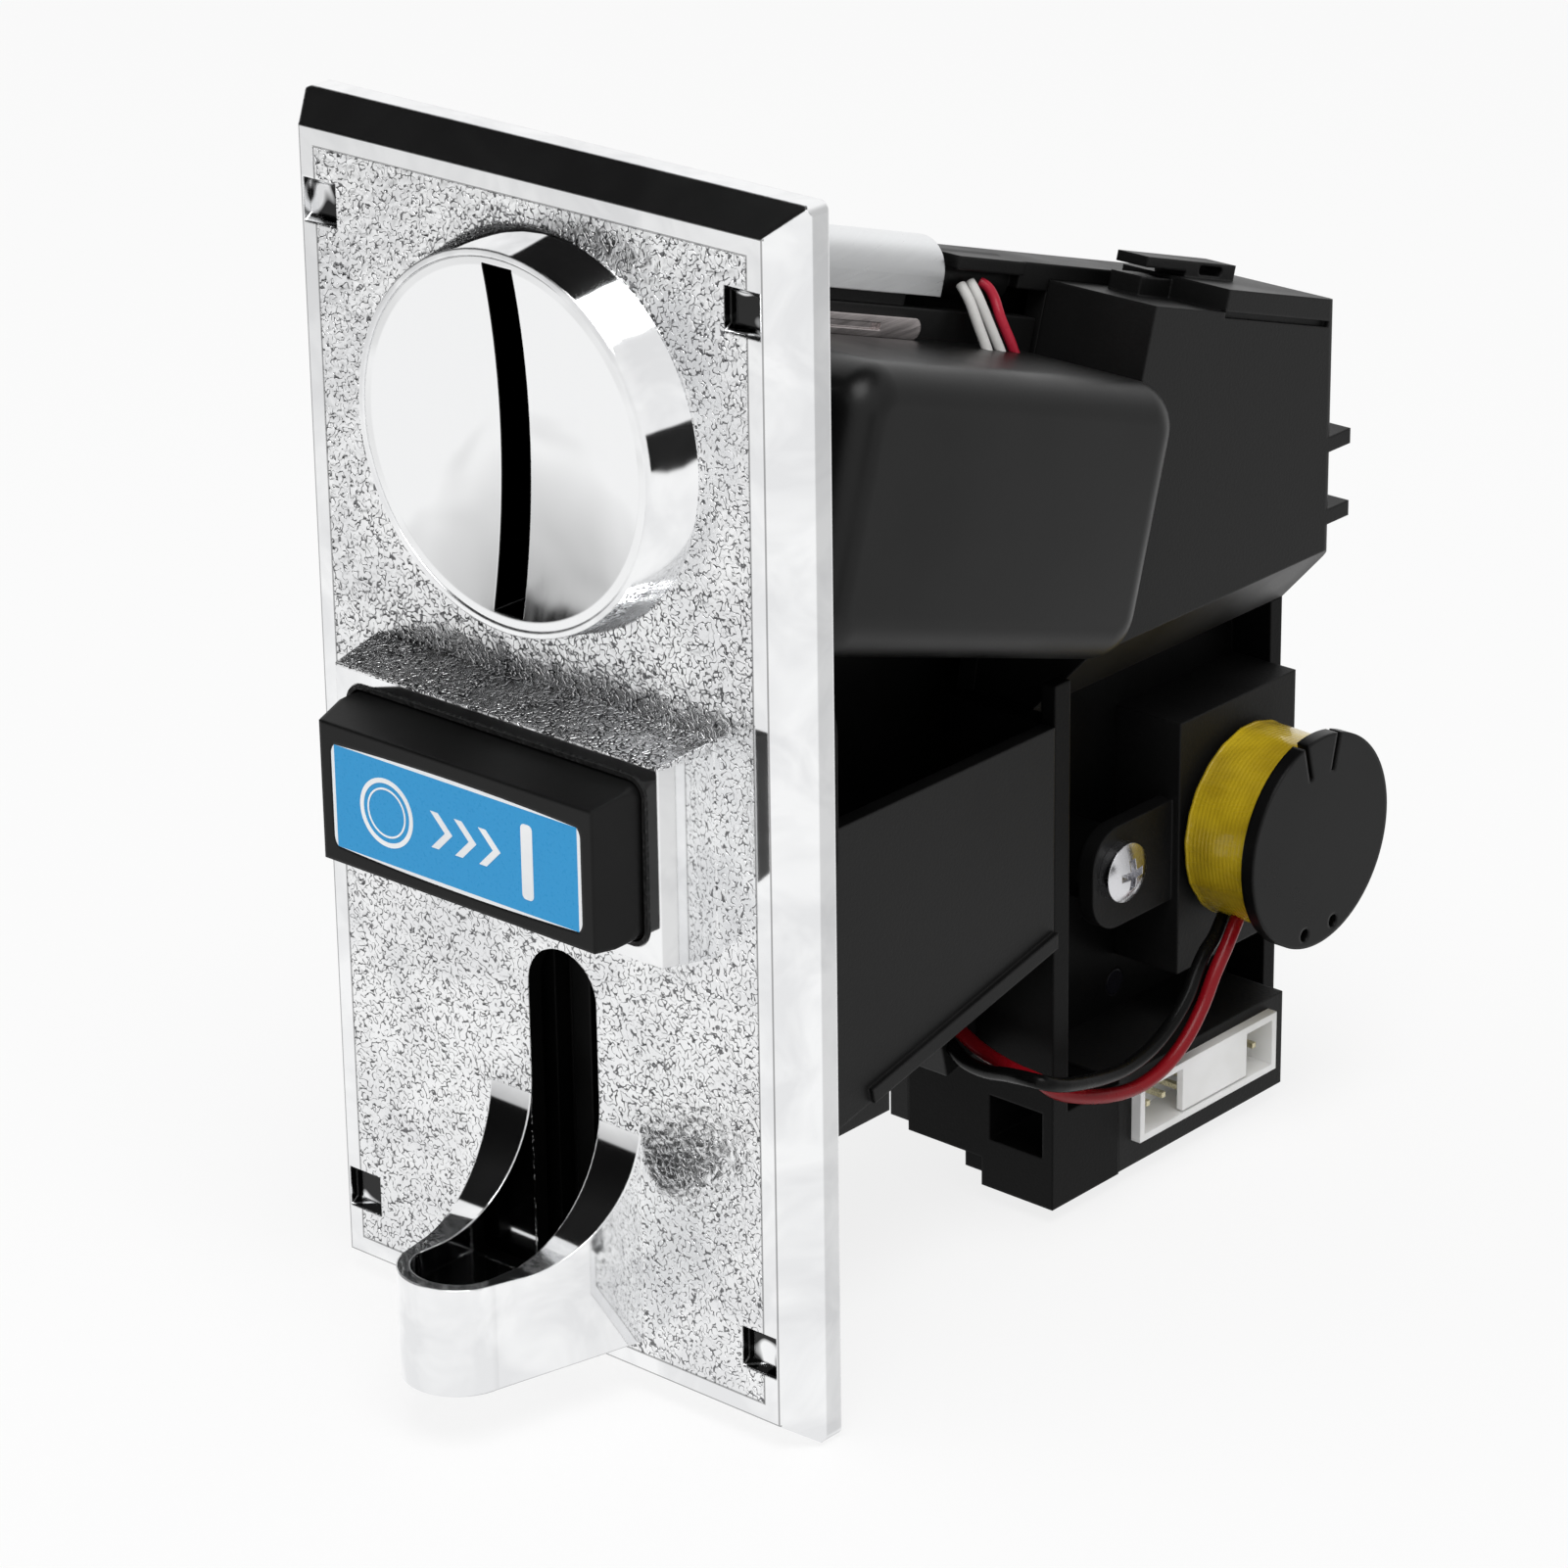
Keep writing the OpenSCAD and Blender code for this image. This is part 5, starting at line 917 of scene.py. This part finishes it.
def rounded_rect(low, high, radius, steps=10):
    """Points round a rectangle with rounded corners."""
    points = []
    corners = ((high[0] - radius, high[1] - radius), (low[0] + radius, high[1] - radius),
               (low[0] + radius, low[1] + radius), (high[0] - radius, low[1] + radius))
    for quarter, (a, b) in enumerate(corners):
        for k in range(steps + 1):
            turn = math.pi / 2 * (quarter + k / steps)
            points.append((a + radius * math.cos(turn), b + radius * math.sin(turn)))
    return points


def cover_rings(inset, top, corner_r, edge_r, steps=12):
    """Outlines from the cover's foot up over its rounded edge, drawn in by inset all round."""
    levels = [(GATE_OUTSIDE, 0.0), (top - edge_r, 0.0)]
    for k in range(1, steps + 1):
        turn = math.pi / 2 * k / steps
        levels.append((top - edge_r + edge_r * math.sin(turn), edge_r * (1 - math.cos(turn))))
    rings = []
    for x, drawn in levels:
        more = inset + drawn
        low = (COVER_ALONG[0] + more, COVER_ACROSS[0] + more)
        high = (COVER_ALONG[1] - more, COVER_ACROSS[1] - more)
        rings.append([on_track(x, a, b) for a, b in rounded_rect(low, high, corner_r - drawn)])
    return rings


def make_cover():
    """Sensor cover: a smooth shell with ball-shaped corners, open to the gate."""
    outer = cover_rings(0.0, COVER_OUTSIDE, COVER_CORNER_R, COVER_EDGE_R)
    inner = cover_rings(COVER_WALL, COVER_OUTSIDE - COVER_WALL, COVER_CORNER_R - COVER_WALL,
                        COVER_EDGE_R - COVER_WALL)
    points, faces = [], []
    count = len(outer[0])
    for rings in (outer, inner):
        faces += walls(len(rings), count, start=len(points))
        for ring in rings:
            points.extend(ring)
        faces.append(tuple(range(len(points) - count, len(points))))
    second = len(outer) * count
    for k in range(count):
        faces.append((k, (k + 1) % count, second + (k + 1) % count, second + k))
    piece = make_piece("sensor_cover_shell", points, faces, "gate", smooth_black)
    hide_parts("sensor_cover")


def tape_radius(along, turn):
    """Radius of the taped coil: curled edges, a lap step and shallow wrinkles."""
    edge = min(along, 1 - along) * (COIL_X[1] - COIL_X[0])
    curl = TAPE_CURL * math.exp(-(edge / TAPE_CURL_REACH) ** 2)
    past_lap = (math.radians(TAPE_LAP_TURN) - turn) * TAPE_LAP_SHARPNESS
    lap = TAPE_LAP * (0.5 + 0.5 * math.tanh(past_lap))
    lap *= 1 - turn / (2 * math.pi) * TAPE_LAP_FADE_SHARE
    wrinkle = math.sin(turn * 9 + 3 * along) * math.sin(turn * 4 - 5 * along + 1) * TAPE_WRINKLE
    pucker = math.sin(turn * 23 + along * 9) * math.exp(-(edge / TAPE_PUCKER_REACH) ** 2) * TAPE_PUCKER
    return COIL_R - TAPE_UNDER + curl + lap + (wrinkle + pucker)


def make_tape():
    """Coil wrapped in tape, a closed ring round the bobbin's core."""
    points = []
    rows = TAPE_ROWS + 3
    for i in range(rows):
        inner = i in (0, rows - 1)
        along = min(max((i - 1) / TAPE_ROWS, 0.0), 1.0)
        x = COIL_X[0] + along * (COIL_X[1] - COIL_X[0])
        for turn in turns(TAPE_STEPS):
            radius = COIL_CORE_R if inner else tape_radius(along, turn)
            points.append((x, COIL_Y + radius * math.cos(turn), COIL_Z + radius * math.sin(turn)))
    faces = walls(rows, TAPE_STEPS, closed=True)
    piece = make_piece("coil_tape", points, faces, "acceptor", materials["solenoid_coil"])
    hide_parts("solenoid_coil")


def make_sign(name, outer, inner=None):
    """Thin raised print on the label, from an outline with an optional inner outline, in X and Z."""
    front, back = LABEL_FACE - SIGN_HEIGHT, LABEL_FACE - SIGN_GAP
    points, faces = [], []
    for outline in (outer, inner) if inner else (outer,):
        for y in (front, back):
            points.extend((LABEL_MID[0] + x, y, LABEL_MID[1] + z) for x, z in outline)
    n = len(outer)
    for k in range(n):
        m = (k + 1) % n
        faces.append((k, m, n + m, n + k))
        if inner:
            faces.append((2 * n + k, 2 * n + m, 3 * n + m, 3 * n + k))
            faces.append((k, m, 2 * n + m, 2 * n + k))
            faces.append((n + k, n + m, 3 * n + m, 3 * n + k))
    if not inner:
        faces.append(tuple(range(n)))
        faces.append(tuple(range(n, 2 * n)))
    make_piece(name, points, faces, "button", print_white, smooth=False)


def circle(x, radius, steps=48):
    """Points round a circle at half the label's height."""
    return [(x + radius * math.cos(turn), radius * math.sin(turn)) for turn in turns(steps)]


def pointer(x, reach, line):
    """Outline of an open arrow head that points along X."""
    return [(x, reach), (x + line, reach), (x + reach + line, 0),
            (x + line, -reach), (x, -reach), (x + reach, 0)]


def make_signs():
    """Plain pictogram: a coin, three pointers and a slot."""
    edge_r = SIGN_COIN_R - SIGN_LINE
    rim_r = SIGN_COIN_R - 2 * SIGN_LINE
    face_r = rim_r - SIGN_COIN_RIM
    make_sign("sign_coin", circle(SIGN_COIN_X, SIGN_COIN_R), circle(SIGN_COIN_X, edge_r))
    make_sign("sign_coin_rim", circle(SIGN_COIN_X, rim_r), circle(SIGN_COIN_X, face_r))
    for i in range(SIGN_POINTERS):
        x = SIGN_POINTER_X + SIGN_POINTER_PITCH * i
        make_sign("sign_pointer_%d" % i, pointer(x, SIGN_POINTER_REACH, 2 * SIGN_LINE))
    low = (SIGN_SLOT_X - SIGN_SLOT_HALF, -SIGN_SLOT_UP)
    high = (SIGN_SLOT_X + SIGN_SLOT_HALF, SIGN_SLOT_UP)
    make_sign("sign_slot", rounded_rect(low, high, SIGN_SLOT_CORNER_R, 5))


def make_seal():
    """Black strip behind the plate that keeps light out of the return slot."""
    points = [(x, y, z) for z in (SEAL_LOW[2], SEAL_HIGH[2]) for y in (SEAL_LOW[1], SEAL_HIGH[1])
              for x in (SEAL_LOW[0], SEAL_HIGH[0])]
    faces = [(0, 1, 3, 2), (4, 5, 7, 6), (0, 1, 5, 4), (2, 3, 7, 6), (0, 2, 6, 4), (1, 3, 7, 5)]
    make_piece("slot_seal", points, faces, "acceptor", deep_black, smooth=False)


def floor_finish():
    """White for the camera, matt for light, and clear for mirrors, which show the room instead."""
    material = bpy.data.materials.new("floor")
    tree = Nodes(material)
    out = tree.add("ShaderNodeOutputMaterial")
    matt = tree.add("ShaderNodeBsdfDiffuse")
    matt.inputs["Color"].default_value = rgba(FLOOR_WHITE)
    glow = tree.add("ShaderNodeEmission")
    glow.inputs["Color"].default_value = rgba(WHITE)
    glow.inputs["Strength"].default_value = 1.0
    clear = tree.add("ShaderNodeBsdfTransparent")
    path = tree.add("ShaderNodeLightPath")
    glow_share = tree.times(path.outputs["Is Camera Ray"], FLOOR_GLOW_SHARE)
    white = tree.mix(glow_share, matt.outputs[0], glow.outputs[0])
    whole = tree.mix(path.outputs["Is Glossy Ray"], white, clear.outputs[0])
    tree.join(whole, out.inputs["Surface"])
    return material


def make_floor():
    """A wide square under the model."""
    mesh = bpy.data.meshes.new("floor")
    quarters = ((-1, -1), (1, -1), (1, 1), (-1, 1))
    corners = [(x * FLOOR_HALF, y * FLOOR_HALF, FLOOR_Z) for x, y in quarters]
    mesh.from_pydata(corners, [], [(0, 1, 2, 3)])
    mesh.materials.append(floor_finish())
    floor = bpy.data.objects.new("floor", mesh)
    bpy.context.scene.collection.objects.link(floor)


def room_patch(tree, way, wide, narrow, level):
    """One outside the patch, falling to the level inside it."""
    dot = tree.add("ShaderNodeVectorMath")
    dot.operation = "DOT_PRODUCT"
    tree.join(tree.add("ShaderNodeTexCoord").outputs["Generated"], dot.inputs[0])
    dot.inputs[1].default_value = Vector(way).normalized()
    outer = math.cos(math.radians(wide))
    inner = math.cos(math.radians(narrow))
    return tree.ramp(dot.outputs["Value"], outer, inner, 1.0, level)


def make_world():
    """The room: evenly white for matt surfaces, with dark and dim patches for shiny ones."""
    world = bpy.data.worlds.new("world")
    bpy.context.scene.world = world
    tree = Nodes(world)
    out = tree.add("ShaderNodeOutputWorld")
    plain = tree.add("ShaderNodeBackground")
    plain.inputs["Color"].default_value = rgba(WHITE)
    plain.inputs["Strength"].default_value = ROOM_LIGHT
    mirrored = tree.add("ShaderNodeBackground")
    mirrored.inputs["Color"].default_value = rgba(WHITE)
    patches = [room_patch(tree, *patch) for patch in ROOM_PATCHES]
    tree.join(tree.times(*patches), mirrored.inputs["Strength"])
    path = tree.add("ShaderNodeLightPath")
    whole = tree.mix(path.outputs["Is Glossy Ray"], plain.outputs[0], mirrored.outputs[0])
    tree.join(whole, out.inputs["Surface"])


def make_lamp(name, place, width, power, in_mirrors):
    """Square lamp that faces the part."""
    data = bpy.data.lights.new(name, "AREA")
    data.size = width
    data.energy = power
    lamp = bpy.data.objects.new(name, data)
    bpy.context.scene.collection.objects.link(lamp)
    lamp.location = place
    lamp.visible_glossy = in_mirrors
    lamp.rotation_mode = "QUATERNION"
    lamp.rotation_quaternion = Vector(place).to_track_quat("Z", "Y")


make_camera()
make_leads()
make_cover()
make_tape()
make_signs()
make_seal()
make_floor()
make_world()
make_lamp("key", KEY_PLACE, KEY_WIDTH, KEY_POWER, in_mirrors=True)
make_lamp("fill", FILL_PLACE, FILL_WIDTH, FILL_POWER, in_mirrors=False)
bpy.context.scene.view_settings.view_transform = "Standard"
